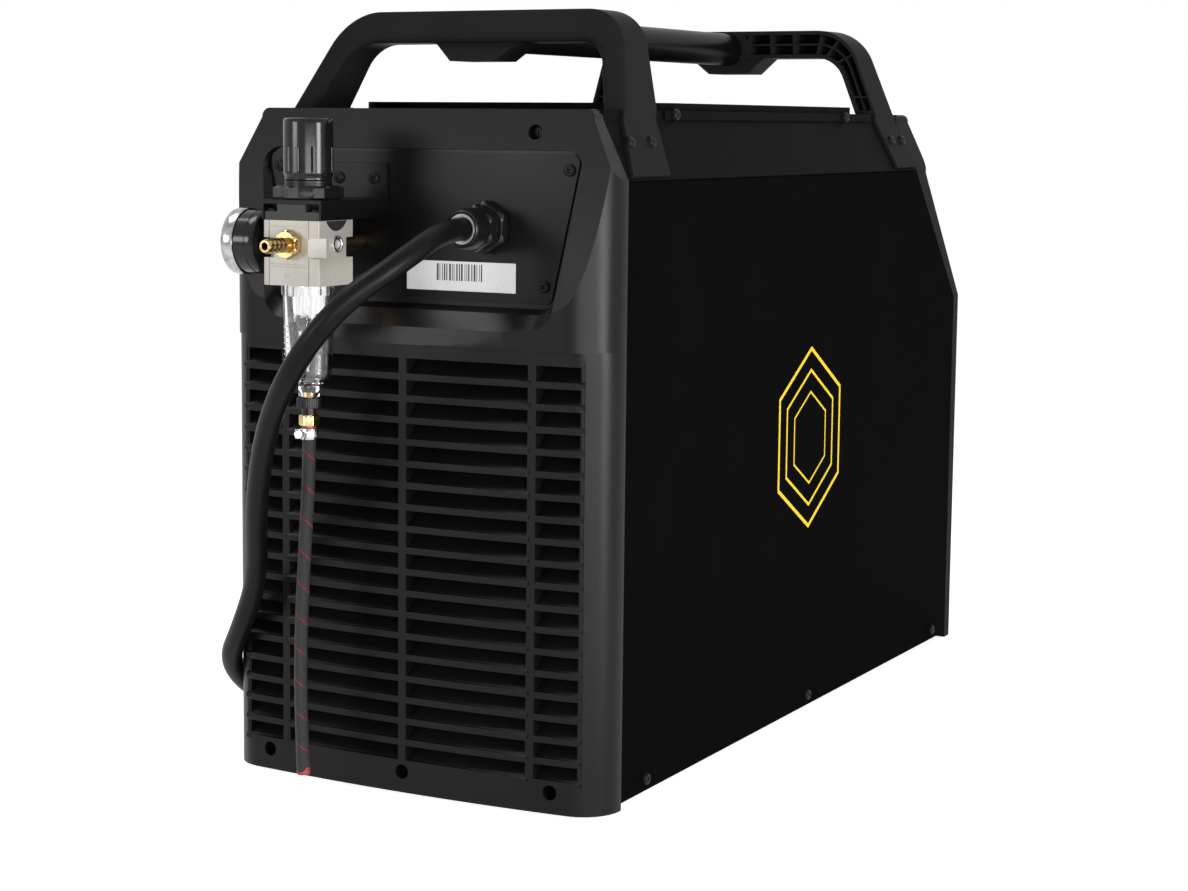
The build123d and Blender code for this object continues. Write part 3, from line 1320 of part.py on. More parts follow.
with BuildPart() as filter_body:
    with Locations((FILTER_X, FILTER_Y, FILTER_BASE_Z)):
        Box(FILTER_W, FILTER_D, FILTER_H, align=(Align.CENTER, Align.CENTER, Align.MIN))
    fillet(filter_body.edges().filter_by(Axis.Z), FILTER_EDGE_R)
    for face, reach in (((0, -1, 0), FILTER_D), ((0, 1, 0), FILTER_D), ((-1, 0, 0), FILTER_W)):
        seat = Vector(FILTER_X, FILTER_Y, PORT_Z) + Vector(*face) * (reach / 2)
        with Locations(Location(Plane(origin=seat, z_dir=face))):
            Cylinder(
                PORT_R, PORT_DEPTH, align=(Align.CENTER, Align.CENTER, Align.MAX), mode=Mode.SUBTRACT
            )
    with Locations(Location(Plane(origin=(FILTER_X + FILTER_W / 2, FILTER_Y, PORT_Z), z_dir=(1, 0, 0)))):
        Cylinder(
            PLUG_DISC_R - 1,
            PORT_DEPTH,
            align=(Align.CENTER, Align.CENTER, Align.MAX),
            mode=Mode.SUBTRACT,
        )
save(filter_body.part, "filter_body")

stub_r = PORT_R - THREAD_FIT
stub_length = PORT_DEPTH - 1
barb_seat = (FILTER_X, FILTER_FRONT_Y, PORT_Z)
ridge_ends = [BARB_HEX_H + BARB_TIP * share for share in (0.34, 0.56, 0.78, 1.0)]
barb_profile = [(0, -stub_length), (stub_r, -stub_length), (stub_r, 0), (BARB_R, 0)]
for ridge_end in ridge_ends:
    ridge_start = ridge_end - BARB_TIP * 0.2
    barb_profile += [
        (BARB_R, ridge_start),
        (BARB_R + BARB_RIDGE, ridge_start),
        (BARB_R - BARB_RIDGE / 2, ridge_end),
    ]
with BuildPart() as inlet_barb:
    add(lathe(barb_seat, (0, -1, 0), barb_profile + [(0, ridge_ends[-1])]))
    add(hexagon(barb_seat, (0, -1, 0), BARB_FLATS, BARB_HEX_H))
    with Locations(barb_seat):
        with Locations(Rotation(90, 0, 0)):
            Cylinder(BARB_BORE_R, 4 * BARB_TIP, mode=Mode.SUBTRACT)
save(inlet_barb.part, "inlet_barb")

nipple_end = POCKET_Y + PORT_DEPTH - FILTER_BACK_Y
nipple_seat = (FILTER_X, FILTER_BACK_Y, PORT_Z)
with BuildPart() as outlet_nipple:
    add(
        lathe(
            nipple_seat,
            (0, 1, 0),
            [
                (BARB_BORE_R, -stub_length),
                (stub_r, -stub_length),
                (stub_r, 0),
                (NIPPLE_R, 0),
                (NIPPLE_R, nipple_end),
                (BARB_BORE_R, nipple_end),
            ],
        )
    )
    add(hexagon(nipple_seat, (0, 1, 0), BARB_FLATS, BARB_HEX_H))
    with Locations(nipple_seat):
        with Locations(Rotation(90, 0, 0)):
            Cylinder(BARB_BORE_R, 8 * BARB_TIP, mode=Mode.SUBTRACT)
save(outlet_nipple.part, "outlet_nipple")

with BuildPart() as port_plug:
    plug_plane = Plane(origin=(FILTER_X + FILTER_W / 2, FILTER_Y, PORT_Z), z_dir=(1, 0, 0))
    with Locations(Location(plug_plane)):
        Cylinder(PLUG_DISC_R, SHEET, align=(Align.CENTER, Align.CENTER, Align.MIN))
        Cylinder(
            PLUG_DISC_R - 1 - THREAD_FIT, stub_length, align=(Align.CENTER, Align.CENTER, Align.MAX)
        )
    with BuildSketch(plug_plane.offset(SHEET)):
        RegularPolygon(PLUG_DISC_R / 2, 6)
    extrude(amount=-2 * SHEET, mode=Mode.SUBTRACT)
save(port_plug.part, "port_plug")

# Pressure gauge
gauge_seat = (FILTER_X - FILTER_W / 2, FILTER_Y, PORT_Z)
gauge_depth = GAUGE_CASE_X + GAUGE_CASE_L
ring_end = gauge_depth + LENS_T + SHEET
with BuildPart() as gauge_case:
    add(
        lathe(
            gauge_seat,
            (-1, 0, 0),
            [
                (0, -stub_length),
                (stub_r, -stub_length),
                (stub_r, 0),
                (GAUGE_STEM_R, 0),
                (GAUGE_STEM_R, GAUGE_CASE_X),
                (GAUGE_R - GAUGE_WALL, GAUGE_CASE_X),
                (GAUGE_R, GAUGE_CASE_X + GAUGE_WALL),
                (GAUGE_R, gauge_depth),
                (GAUGE_R - GAUGE_WALL, gauge_depth),
                (GAUGE_R - GAUGE_WALL, gauge_depth - GAUGE_CUP),
                (POINTER_PIN_R + RUNNING_FIT, gauge_depth - GAUGE_CUP),
                (POINTER_PIN_R + RUNNING_FIT, gauge_depth - GAUGE_CUP - GAUGE_WALL * 2),
                (0, gauge_depth - GAUGE_CUP - GAUGE_WALL * 2),
            ],
        )
    )
    add(hexagon(gauge_seat, (-1, 0, 0), BARB_FLATS, BARB_HEX_H))
save(gauge_case.part, "gauge_case")

with BuildPart() as gauge_dial:
    add(
        lathe(
            (DIAL_X, FILTER_Y, PORT_Z),
            (-1, 0, 0),
            [
                (2 * POINTER_PIN_R, 0),
                (GAUGE_R - GAUGE_WALL - THREAD_FIT, 0),
                (GAUGE_R - GAUGE_WALL - THREAD_FIT, DIAL_T),
                (2 * POINTER_PIN_R, DIAL_T),
            ],
        )
    )
save(gauge_dial.part, "gauge_dial")

pointer_plane = Plane(origin=(DIAL_X - 2 * DIAL_T, FILTER_Y, PORT_Z), x_dir=(0, 1, -1), z_dir=(-1, 0, 0))
with BuildPart() as gauge_pointer:
    with BuildSketch(pointer_plane):
        Polygon(
            (-POINTER_REACH / 3, POINTER_PIN_R),
            (-POINTER_REACH / 3, -POINTER_PIN_R),
            (POINTER_REACH, -POINTER_PIN_R / 3),
            (POINTER_REACH, POINTER_PIN_R / 3),
            align=None,
        )
        Circle(2 * POINTER_PIN_R)
    extrude(amount=POINTER_T)
    with BuildSketch(pointer_plane):
        Circle(POINTER_PIN_R)
    extrude(amount=-2 * DIAL_T - GAUGE_WALL * 2 + COCK_GAP)
save(gauge_pointer.part, "gauge_pointer")

with BuildPart() as gauge_lens:
    with Locations(Location(Plane(origin=(GAUGE_OPEN_X, FILTER_Y, PORT_Z), z_dir=(-1, 0, 0)))):
        Cylinder(GAUGE_R - THREAD_FIT, LENS_T, align=(Align.CENTER, Align.CENTER, Align.MIN))
save(gauge_lens.part, "gauge_lens")

with BuildPart() as gauge_ring:
    add(
        lathe(
            gauge_seat,
            (-1, 0, 0),
            [
                (GAUGE_R + RUNNING_FIT, ring_end - GAUGE_RING_L),
                (GAUGE_RING_R, ring_end - GAUGE_RING_L),
                (GAUGE_RING_R, ring_end - SHEET / 2),
                (GAUGE_RING_R - SHEET / 2, ring_end),
                (GAUGE_R - GAUGE_RING_LIP, ring_end),
                (GAUGE_R - GAUGE_RING_LIP, gauge_depth + LENS_T),
                (GAUGE_R + RUNNING_FIT, gauge_depth + LENS_T),
            ],
        )
    )
save(gauge_ring.part, "gauge_ring")

# Bowl, element and drain
bowl_round_z = BOWL_END_Z + BOWL_BOTTOM_R / 2
seat_z = NUB_END_Z + NUB_H - 2 * BOWL_WALL
with BuildPart() as filter_bowl:
    add(
        lathe(
            (FILTER_X, FILTER_Y, 0),
            (0, 0, 1),
            [
                (BOWL_R - BOWL_WALL, FILTER_BASE_Z),
                (BOWL_R, FILTER_BASE_Z),
                (BOWL_BOTTOM_R, bowl_round_z),
                (BOWL_BOTTOM_R * 0.9, BOWL_END_Z + BOWL_BOTTOM_R / 5),
                (BOWL_BOTTOM_R * 0.68, BOWL_END_Z),
                (NUB_R, BOWL_END_Z),
                (NUB_R, NUB_END_Z),
                (DRAIN_STEM_R + THREAD_FIT, NUB_END_Z),
                (DRAIN_STEM_R + THREAD_FIT, seat_z),
                (0, seat_z),
                (0, BOWL_END_Z + BOWL_WALL),
                (BOWL_BOTTOM_R * 0.68, BOWL_END_Z + BOWL_WALL),
                (BOWL_BOTTOM_R - BOWL_WALL, bowl_round_z),
            ],
        )
    )
save(filter_bowl.part, "filter_bowl")

with BuildPart() as filter_element:
    with Locations((FILTER_X, FILTER_Y, FILTER_BASE_Z)):
        Cylinder(ELEMENT_R, ELEMENT_H, align=(Align.CENTER, Align.CENTER, Align.MAX))
    with Locations((FILTER_X, FILTER_Y, FILTER_BASE_Z - ELEMENT_H)):
        Cylinder(BAFFLE_R, BAFFLE_T, align=(Align.CENTER, Align.CENTER, Align.MAX))
save(filter_element.part, "filter_element")

with BuildPart() as drain_cock:
    add(
        lathe(
            (FILTER_X, FILTER_Y, COCK_TOP_Z),
            (0, 0, -1),
            [
                (DRAIN_STEM_R + RUNNING_FIT, 0),
                (COCK_R * 0.94, 0),
                (COCK_R, COCK_H * 0.2),
                (COCK_R, COCK_H * 0.8),
                (COCK_R * 0.94, COCK_H),
                (DRAIN_STEM_R + RUNNING_FIT, COCK_H),
            ],
        )
    )
save(drain_cock.part, "drain_cock")

with BuildPart() as drain_nipple:
    add(hexagon((FILTER_X, FILTER_Y, HOSE_TOP_Z), (0, 0, 1), NIPPLE_FLATS, NIPPLE_HEX_H))
    with Locations((FILTER_X, FILTER_Y, HOSE_TOP_Z)):
        Cylinder(DRAIN_STEM_R, seat_z - HOSE_TOP_Z, align=(Align.CENTER, Align.CENTER, Align.MIN))
save(drain_nipple.part, "drain_nipple")

with BuildPart() as hose_clamp:
    with Locations((FILTER_X, FILTER_Y, HOSE_TOP_Z - CLAMP_DROP)):
        Cylinder(
            HOSE_D / 2 + CLAMP_FIT + CLAMP_T, CLAMP_H, align=(Align.CENTER, Align.CENTER, Align.MAX)
        )
    with Locations((FILTER_X + HOSE_D * 0.75, FILTER_Y, HOSE_TOP_Z - CLAMP_DROP)):
        Box(CLAMP_H * 0.7, CLAMP_H * 0.8, CLAMP_H, align=(Align.CENTER, Align.CENTER, Align.MAX))
    with Locations((FILTER_X, FILTER_Y, HOSE_TOP_Z)):
        Cylinder(HOSE_D / 2 + CLAMP_FIT, 4 * CLAMP_H, mode=Mode.SUBTRACT)
save(hose_clamp.part, "hose_clamp")

hose_points = [(FILTER_X, FILTER_Y, HOSE_TOP_Z)] + [
    (FILTER_X + x, FILTER_Y + y, HOSE_TOP_Z * share)
    for x, y, share in (
        (0.0, 0.0, 0.87),
        (-2.5, -1.5, 0.67),
        (-5.5, -1.5, 0.46),
        (-7.5, 0.5, 0.25),
        (-7.0, 3.0, 0.06),
    )
]
save(cord_tube(hose_points, HOSE_D, "drain_hose"), "drain_hose")

# Fan behind the grille
fan_plane = Plane(origin=(0, FAN_Y, FAN_Z), z_dir=(0, 1, 0))
stator_floor = FAN_DEPTH - FAN_STATOR_H
hub_depth = stator_floor - 2 * WALL
with BuildPart() as fan_frame:
    with Locations(Location(fan_plane)):
        Box(FAN_SIZE, FAN_SIZE, FAN_DEPTH, align=(Align.CENTER, Align.CENTER, Align.MIN))
        Cylinder(
            FAN_OPENING_R,
            FAN_DEPTH,
            align=(Align.CENTER, Align.CENTER, Align.MIN),
            mode=Mode.SUBTRACT,
        )
    with Locations(Location(fan_plane.offset(stator_floor))):
        Cylinder(FAN_HUB_R, FAN_STATOR_H, align=(Align.CENTER, Align.CENTER, Align.MIN))
        Box(
            2 * FAN_OPENING_R + WALL, 2 * WALL, FAN_STATOR_H, align=(Align.CENTER, Align.CENTER, Align.MIN)
        )
        Box(
            2 * WALL, 2 * FAN_OPENING_R + WALL, FAN_STATOR_H, align=(Align.CENTER, Align.CENTER, Align.MIN)
        )
        Cylinder(FAN_SHAFT_R + RUNNING_FIT, 4 * FAN_STATOR_H, mode=Mode.SUBTRACT)
save(fan_frame.part, "fan_frame")

with BuildPart() as fan_rotor:
    with Locations(Location(fan_plane.offset(WALL))):
        Cylinder(FAN_HUB_R, hub_depth, align=(Align.CENTER, Align.CENTER, Align.MIN))
    with Locations(Location(fan_plane.offset(WALL + hub_depth / 2))):
        with PolarLocations((FAN_HUB_R - WALL + FAN_TIP_R) / 2, FAN_BLADES):
            with Locations(Rotation(38, 0, 0)):
                Box(FAN_TIP_R - FAN_HUB_R + WALL, hub_depth, WALL * 0.8)
    with Locations(Location(fan_plane.offset(WALL + hub_depth))):
        Cylinder(
            FAN_SHAFT_R, FAN_DEPTH - WALL - hub_depth, align=(Align.CENTER, Align.CENTER, Align.MIN)
        )
save(fan_rotor.part, "fan_rotor")

# Power stage on the base pan
fin_pitch = (SINK_W - SINK_FIN_T) / (SINK_FINS - 1)
with BuildPart() as heatsink:
    with Locations((0, SINK_Y, PAN_TOP)):
        Box(SINK_W, SINK_LENGTH, SINK_H, align=(Align.CENTER, Align.CENTER, Align.MIN))
        with GridLocations(fin_pitch, 1, SINK_FINS - 1, 1):
            Box(
                fin_pitch - SINK_FIN_T,
                SINK_LENGTH,
                SINK_H - SINK_BASE,
                align=(Align.CENTER, Align.CENTER, Align.MIN),
                mode=Mode.SUBTRACT,
            )
save(heatsink.part, "heatsink")

with BuildPart() as power_modules:
    with Locations((0, SINK_Y, SINK_TOP)):
        with GridLocations(MODULE_SIZE[0] * 1.2, 1, 3, 1):
            Box(*MODULE_SIZE, align=(Align.CENTER, Align.CENTER, Align.MIN))
save(power_modules.part, "power_modules")

with BuildPart() as power_board:
    with Locations((0, SINK_Y, MODULE_TOP)):
        Box(SINK_W * 1.3, SINK_LENGTH * 0.9, BOARD_T, align=(Align.CENTER, Align.CENTER, Align.MIN))
save(power_board.part, "power_board")

with BuildPart() as capacitors:
    with Locations((0, SINK_Y, BOARD_TOP)):
        with GridLocations(3 * CAPACITOR_R, 3 * CAPACITOR_R, 2, 3):
            Cylinder(CAPACITOR_R, CAPACITOR_H, align=(Align.CENTER, Align.CENTER, Align.MIN))
    fillet(capacitors.edges().group_by(Axis.Z)[-1], CAPACITOR_R / 8)
save(capacitors.part, "capacitors")

ring_y = SINK_Y + SINK_LENGTH / 2 + SINK_GAP + TRANSFORMER_R
with BuildPart() as wound_cores:
    for radius, height, ring_x in (
        (TRANSFORMER_R, TRANSFORMER_H, -CHOKE_R - SINK_GAP / 2),
        (CHOKE_R, CHOKE_H, TRANSFORMER_R + SINK_GAP / 2),
    ):
        with BuildSketch(Plane(origin=(ring_x, ring_y, PAN_TOP), x_dir=(1, 0, 0), z_dir=(0, -1, 0))):
            with Locations((radius * (1 + RING_BORE) / 2, height / 2)):
                RectangleRounded(radius * (1 - RING_BORE), height, min(RING_ROUND, radius * 0.25))
        revolve(axis=Axis((ring_x, ring_y, 0), (0, 0, 1)))
save(wound_cores.part, "wound_cores")

# Air valve behind the steel plate
with BuildPart() as solenoid_valve:
    with Locations((FILTER_X, POCKET_Y, PORT_Z)):
        Box(VALVE_W, VALVE_D, VALVE_H, align=(Align.CENTER, Align.MIN, Align.CENTER))
    with Locations((FILTER_X, POCKET_Y + VALVE_D / 2, PORT_Z + VALVE_H / 2)):
        Cylinder(VALVE_COIL_R, VALVE_COIL_H, align=(Align.CENTER, Align.CENTER, Align.MIN))
    with Locations((FILTER_X, POCKET_Y, PORT_Z)):
        with Locations(Rotation(-90, 0, 0)):
            Cylinder(
                NIPPLE_R + THREAD_FIT,
                PORT_DEPTH,
                align=(Align.CENTER, Align.CENTER, Align.MIN),
                mode=Mode.SUBTRACT,
            )
save(solenoid_valve.part, "solenoid_valve")

# Controls on the slanted front
with BuildPart() as control_panel:
    with BuildSketch(panel_plane):
        RectangleRounded(OVERLAY_W, OVERLAY_H, OVERLAY_R)
    extrude(amount=OVERLAY_T)
    with Locations(on_panel(ENCODER_AT)):
        Cylinder(ENCODER_SHAFT_R + RUNNING_FIT, 4 * OVERLAY_T, mode=Mode.SUBTRACT)
    with Locations(*[on_panel(place) for place in BUTTON_AT]):
        Cylinder(BUTTON_R + BUTTON_FIT, 4 * OVERLAY_T, mode=Mode.SUBTRACT)
save(control_panel.part, "control_panel")

with BuildPart() as display_window:
    with Locations(on_panel((BUTTON_AT[0][0] / 2, WINDOW_UP))):
        Box(WINDOW_W, WINDOW_H, WINDOW_T, align=(Align.CENTER, Align.CENTER, Align.MIN))
save(display_window.part, "display_window")

with BuildPart() as encoder_knob:
    with Locations(on_panel(ENCODER_AT, KNOB_GAP)):
        Cone(ENCODER_R, ENCODER_R * 0.9, ENCODER_H, align=(Align.CENTER, Align.CENTER, Align.MIN))
        Cylinder(ENCODER_SHAFT_R, ENCODER_SHAFT, align=(Align.CENTER, Align.CENTER, Align.MAX))
save(encoder_knob.part, "encoder_knob")

button_depth = OVERLAY_T + WALL + COCK_GAP + BUTTON_FLANGE
for place, name in zip(BUTTON_AT, ("button_left", "button_right")):
    with BuildPart() as button:
        with Locations(on_panel(place, BUTTON_PROUD)):
            Cylinder(BUTTON_R, BUTTON_PROUD + button_depth, align=(Align.CENTER, Align.CENTER, Align.MAX))
        with Locations(on_panel(place, -button_depth)):
            Cylinder(BUTTON_R + BUTTON_FLANGE, BUTTON_FLANGE, align=(Align.CENTER, Align.CENTER, Align.MIN))
    save(button.part, name)

# Mains switch and outlets on the upright front
with BuildPart() as switch_plate:
    with Locations(on_front(SWITCH_AT)):
        Cylinder(SWITCH_R * 1.3, SWITCH_PLATE_T, align=(Align.CENTER, Align.CENTER, Align.MIN))
        Cylinder(SWITCH_SHAFT_R + RUNNING_FIT, 4 * SWITCH_PLATE_T, mode=Mode.SUBTRACT)
save(switch_plate.part, "switch_plate")

with BuildPart() as power_switch:
    with Locations(on_front(SWITCH_AT, SWITCH_PLATE_T + KNOB_GAP)):
        Cylinder(SWITCH_R, SWITCH_H / 4, align=(Align.CENTER, Align.CENTER, Align.MIN))
        Box(SWITCH_R / 2, 2 * SWITCH_R, SWITCH_H, align=(Align.CENTER, Align.CENTER, Align.MIN))
        Cylinder(SWITCH_SHAFT_R, SWITCH_SHAFT, align=(Align.CENTER, Align.CENTER, Align.MAX))
save(power_switch.part, "power_switch")

for name, place, radius, bore_r, proud in (
    ("torch_socket", TORCH_AT, TORCH_R, TORCH_BORE_R, TORCH_PROUD),
    ("work_socket", WORK_AT, WORK_R, WORK_BORE_R, WORK_PROUD),
):
    with BuildPart() as socket:
        with Locations(on_front(place)):
            Cylinder(radius, SOCKET_FLANGE_T, align=(Align.CENTER, Align.CENTER, Align.MIN))
            Cylinder(radius - SOCKET_COLLAR, proud, align=(Align.CENTER, Align.CENTER, Align.MIN))
            Cylinder(radius - SOCKET_COLLAR, SOCKET_BACK, align=(Align.CENTER, Align.CENTER, Align.MAX))
        with Locations(on_front(place, proud)):
            Cylinder(
                bore_r,
                SOCKET_DEPTH + proud - SOCKET_COLLAR,
                align=(Align.CENTER, Align.CENTER, Align.MAX),
                mode=Mode.SUBTRACT,
            )
    save(socket.part, name)
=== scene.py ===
from math import cos, inf, pi, radians, sin, sqrt

import bmesh
import bpy
from mathutils import Matrix, Vector


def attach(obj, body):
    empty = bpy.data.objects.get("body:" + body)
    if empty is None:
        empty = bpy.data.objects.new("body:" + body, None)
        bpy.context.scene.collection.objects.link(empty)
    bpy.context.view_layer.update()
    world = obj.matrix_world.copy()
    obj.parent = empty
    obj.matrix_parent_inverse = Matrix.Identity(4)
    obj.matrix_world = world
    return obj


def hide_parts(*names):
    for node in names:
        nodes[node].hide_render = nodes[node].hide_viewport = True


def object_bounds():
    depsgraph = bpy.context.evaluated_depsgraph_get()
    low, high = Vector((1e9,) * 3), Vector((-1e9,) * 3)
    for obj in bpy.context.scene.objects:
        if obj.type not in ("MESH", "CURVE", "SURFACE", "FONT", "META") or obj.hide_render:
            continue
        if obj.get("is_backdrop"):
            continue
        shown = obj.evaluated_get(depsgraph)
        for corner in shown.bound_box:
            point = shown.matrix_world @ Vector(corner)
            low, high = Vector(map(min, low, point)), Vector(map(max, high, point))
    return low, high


MM = 0.001  # shapes are drawn in millimetres

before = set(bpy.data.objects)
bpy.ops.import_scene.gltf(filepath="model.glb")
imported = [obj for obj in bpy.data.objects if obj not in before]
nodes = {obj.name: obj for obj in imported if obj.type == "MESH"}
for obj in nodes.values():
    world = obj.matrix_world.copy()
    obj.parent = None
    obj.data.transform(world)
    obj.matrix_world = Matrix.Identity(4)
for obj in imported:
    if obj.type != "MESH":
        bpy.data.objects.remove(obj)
cad_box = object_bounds()
scene = bpy.context.scene
scene.view_settings.view_transform = "Standard"

# Camera at the photograph's viewing angle; the focal length is in its pixels
YAW, PITCH, ROLL = radians(28.814), radians(6.694), radians(0.471)
IMAGE_W, FOCAL, SENSOR = 1188, 2422.716, 36
CAMERA_AT = (0.8016, -1.5787, 0.4279)
forward = Vector((-sin(YAW) * cos(PITCH), cos(YAW) * cos(PITCH), -sin(PITCH)))
level = Vector((cos(YAW), sin(YAW), 0))
upright = level.cross(forward)
right = level * cos(ROLL) + upright * sin(ROLL)
up = upright * cos(ROLL) - level * sin(ROLL)
camera_data = bpy.data.cameras.new("camera")
camera_data.sensor_fit = "HORIZONTAL"
camera_data.sensor_width = SENSOR
camera_data.lens = FOCAL * SENSOR / IMAGE_W
camera_data.shift_x = 0.0489
camera_data.shift_y = -0.0327
camera_data.clip_end = 100
camera = bpy.data.objects.new("camera", camera_data)
turned = Matrix((right, up, -forward)).transposed().to_4x4()
camera.matrix_world = Matrix.Translation(CAMERA_AT) @ turned
scene.collection.objects.link(camera)
scene.camera = camera


# Node helpers
def add_node(tree, kind, inputs=None, **settings):
    """New node with its settings and its input values or links."""
    made = tree.nodes.new(kind)
    for key, value in settings.items():
        setattr(made, key, value)
    for key, value in (inputs or {}).items():
        if isinstance(value, bpy.types.NodeSocket):
            tree.links.new(value, made.inputs[key])
        else:
            made.inputs[key].default_value = value
    return made


def grey(value):
    """Colour of one grey level."""
    return (value, value, value, 1)


def new_material(name, values):
    """Material with constant values set on its shader's own sockets."""
    material = bpy.data.materials.new(name)
    material.use_nodes = True
    shader = material.node_tree.nodes["Principled BSDF"]
    for key, value in values.items():
        shader.inputs[key].default_value = value
    return material, material.node_tree, shader


def ramp(tree, factor, stops):
    """Colour ramp from (place, colour) stops."""
    made = add_node(tree, "ShaderNodeValToRGB", {"Fac": factor})
    band = made.color_ramp.elements
    while len(band) < len(stops):
        band.new(0.5)
    for element, (place, colour) in zip(band, stops):
        element.position = place
        element.color = colour
    return made.outputs["Color"]


def noise(tree, where, scale, detail, stretch=None):
    """Noise over the object, stretched along its axes if asked."""
    if stretch:
        inputs = {"Vector": where, "Scale": stretch}
        where = add_node(tree, "ShaderNodeMapping", inputs).outputs["Vector"]
    inputs = {"Vector": where, "Scale": scale, "Detail": detail}
    return add_node(tree, "ShaderNodeTexNoise", inputs).outputs["Fac"]


def spread(tree, factor, low, high):
    """Number that runs from low to high over the middle of a noise."""
    made = add_node(
        tree,
        "ShaderNodeMapRange",
        {"Value": factor, "From Min": 0.3, "From Max": 0.7, "To Min": low, "To Max": high},
    )
    return made.outputs["Result"]


def bump(tree, shader, height, depth):
    """Bump of a depth in metres."""
    made = add_node(tree, "ShaderNodeBump", {"Height": height, "Distance": depth, "Strength": 1.0})
    tree.links.new(made.outputs["Normal"], shader.inputs["Normal"])


def finish(name, dark, light, rough, grain, depth, cloud=14.0, stretch=None, values=None):
    """Finish with drifting colour, uneven gloss and a fine grain in relief."""
    material, tree, shader = new_material(name, values or {})
    where = add_node(tree, "ShaderNodeTexCoord").outputs["Object"]
    drift = noise(tree, where, cloud, 5.0)
    fine = noise(tree, where, grain, 2.0, stretch)
    both = add_node(tree, "ShaderNodeMix", {"Factor": 0.5, "A": drift, "B": fine}).outputs["Result"]
    tree.links.new(ramp(tree, both, [(0.36, dark), (0.64, light)]), shader.inputs["Base Color"])
    tree.links.new(spread(tree, drift, rough[0], rough[1]), shader.inputs["Roughness"])
    bump(tree, shader, fine, depth)
    return material


def rgb(r, g, b):
    """Colour from three linear parts."""
    return (r, g, b, 1)


def sheen(level):
    """Shader value for how strongly a surface reflects."""
    return {"Specular IOR Level": level}


# Finishes
METAL = {"Metallic": 1.0}
paint = finish(
    "powder_black", grey(0.0016), grey(0.0026), (0.42, 0.52), 900, 0.00002, values=sheen(0.001)
)
tray_paint = finish(
    "tray_black", grey(0.0024), grey(0.0040), (0.36, 0.46), 900, 0.00002, values=sheen(0.006)
)
plate_paint = finish(
    "plate_black", grey(0.0030), grey(0.0046), (0.30, 0.38), 1100, 0.000015, values=sheen(0.09)
)
moulded = finish(
    "moulded_grey", grey(0.0026), grey(0.0044), (0.31, 0.39), 1000, 0.00004, values=sheen(0.13)
)
front_moulded = finish(
    "front_grey", grey(0.0060), grey(0.0100), (0.34, 0.46), 600, 0.00005, values=sheen(0.012)
)
handle = finish(
    "handle_satin", grey(0.009), grey(0.014), (0.33, 0.41), 1500, 0.000025, values=sheen(0.007)
)
tube_black = finish(
    "tube_black", grey(0.002), grey(0.0035), (0.28, 0.36), 700, 0.000015, values=sheen(0.05)
)
rubber = finish(
    "rubber_black", grey(0.0022), grey(0.0038), (0.34, 0.44), 1200, 0.00003, values=sheen(0.09)
)
nylon = finish(
    "nylon_black", grey(0.0035), grey(0.0055), (0.24, 0.34), 800, 0.00003, values=sheen(0.2)
)
gloss = finish(
    "gloss_black", grey(0.0035), grey(0.0055), (0.14, 0.2), 500, 0.00002, values=sheen(0.25)
)
bonnet_black = finish(
    "bonnet_black", grey(0.014), grey(0.020), (0.42, 0.52), 1200, 0.00005, values=sheen(0.25)
)
baffle_grey = finish("baffle_grey", grey(0.05), grey(0.09), (0.36, 0.46), 900, 0.00004)
# Seal finish: pale grey, partly the seal's own tone and partly a painted highlight ring round the
# cable
seal = finish("seal_grey_painted_highlight", grey(0.34), grey(0.44), (0.42, 0.52), 900, 0.00004)
ink = finish("ink_black", grey(0.010), grey(0.030), (0.5, 0.6), 1500, 0.00002)
needle_red = finish(
    "needle_red", rgb(0.40, 0.012, 0.010), rgb(0.52, 0.02, 0.014), (0.36, 0.46), 900, 0.00002
)
hose_red = finish(
    "hose_red", rgb(0.16, 0.012, 0.012), rgb(0.24, 0.018, 0.016), (0.42, 0.52), 900, 0.00003
)
brass = finish(
    "brass", rgb(0.42, 0.27, 0.10), rgb(0.64, 0.45, 0.20), (0.16, 0.28), 900, 0.00002, cloud=60,
    values=METAL
)
nickel = finish(
    "nickel_cast", rgb(0.29, 0.277, 0.247), rgb(0.37, 0.353, 0.315), (0.30, 0.42), 1600, 0.00006,
    cloud=50, values={"Metallic": 0.1, "Specular IOR Level": 0.4}
)
chrome = finish(
    "chrome", grey(0.64), grey(0.80), (0.07, 0.14), 300, 0.000005, cloud=40, values=METAL
)
ring_steel = finish(
    "ring_steel", grey(0.20), grey(0.44), (0.14, 0.26), 260, 0.00001, cloud=90, values=METAL
)
steel = finish(
    "plated_steel", grey(0.40), grey(0.58), (0.18, 0.3), 900, 0.00002, cloud=60, values=METAL
)
screw_black = finish(
    "screw_black", grey(0.006), grey(0.012), (0.26, 0.36), 900, 0.00002, cloud=60,
    values=sheen(0.06)
)
white = finish("white_plastic", grey(0.74), grey(0.84), (0.4, 0.5), 900, 0.00003, cloud=40)
label_white = finish("label_white", grey(0.50), grey(0.58), (0.42, 0.52), 700, 0.00001, cloud=40)
print_grey = finish("print_grey", grey(0.48), grey(0.60), (0.4, 0.5), 900, 0.00001)
stripe_yellow = finish(
    "stripe_yellow", rgb(0.62, 0.42, 0.01), rgb(0.74, 0.52, 0.02), (0.4, 0.5), 1100, 0.00003,
    values=sheen(0.1)
)
red = finish(
    "plug_red", rgb(0.42, 0.014, 0.010), rgb(0.55, 0.022, 0.015), (0.34, 0.46), 1200, 0.00005
)
led_red = finish("led_red", rgb(0.62, 0.02, 0.015), rgb(0.80, 0.04, 0.02), (0.2, 0.3), 900, 0.00001)
alloy = finish(
    "alloy", grey(0.42), grey(0.55), (0.3, 0.45), 900, 0.00003, stretch=(1, 0.03, 1), values=METAL
)
board = finish(
    "board_green", rgb(0.01, 0.09, 0.03), rgb(0.02, 0.14, 0.05), (0.3, 0.45), 600, 0.00005
)
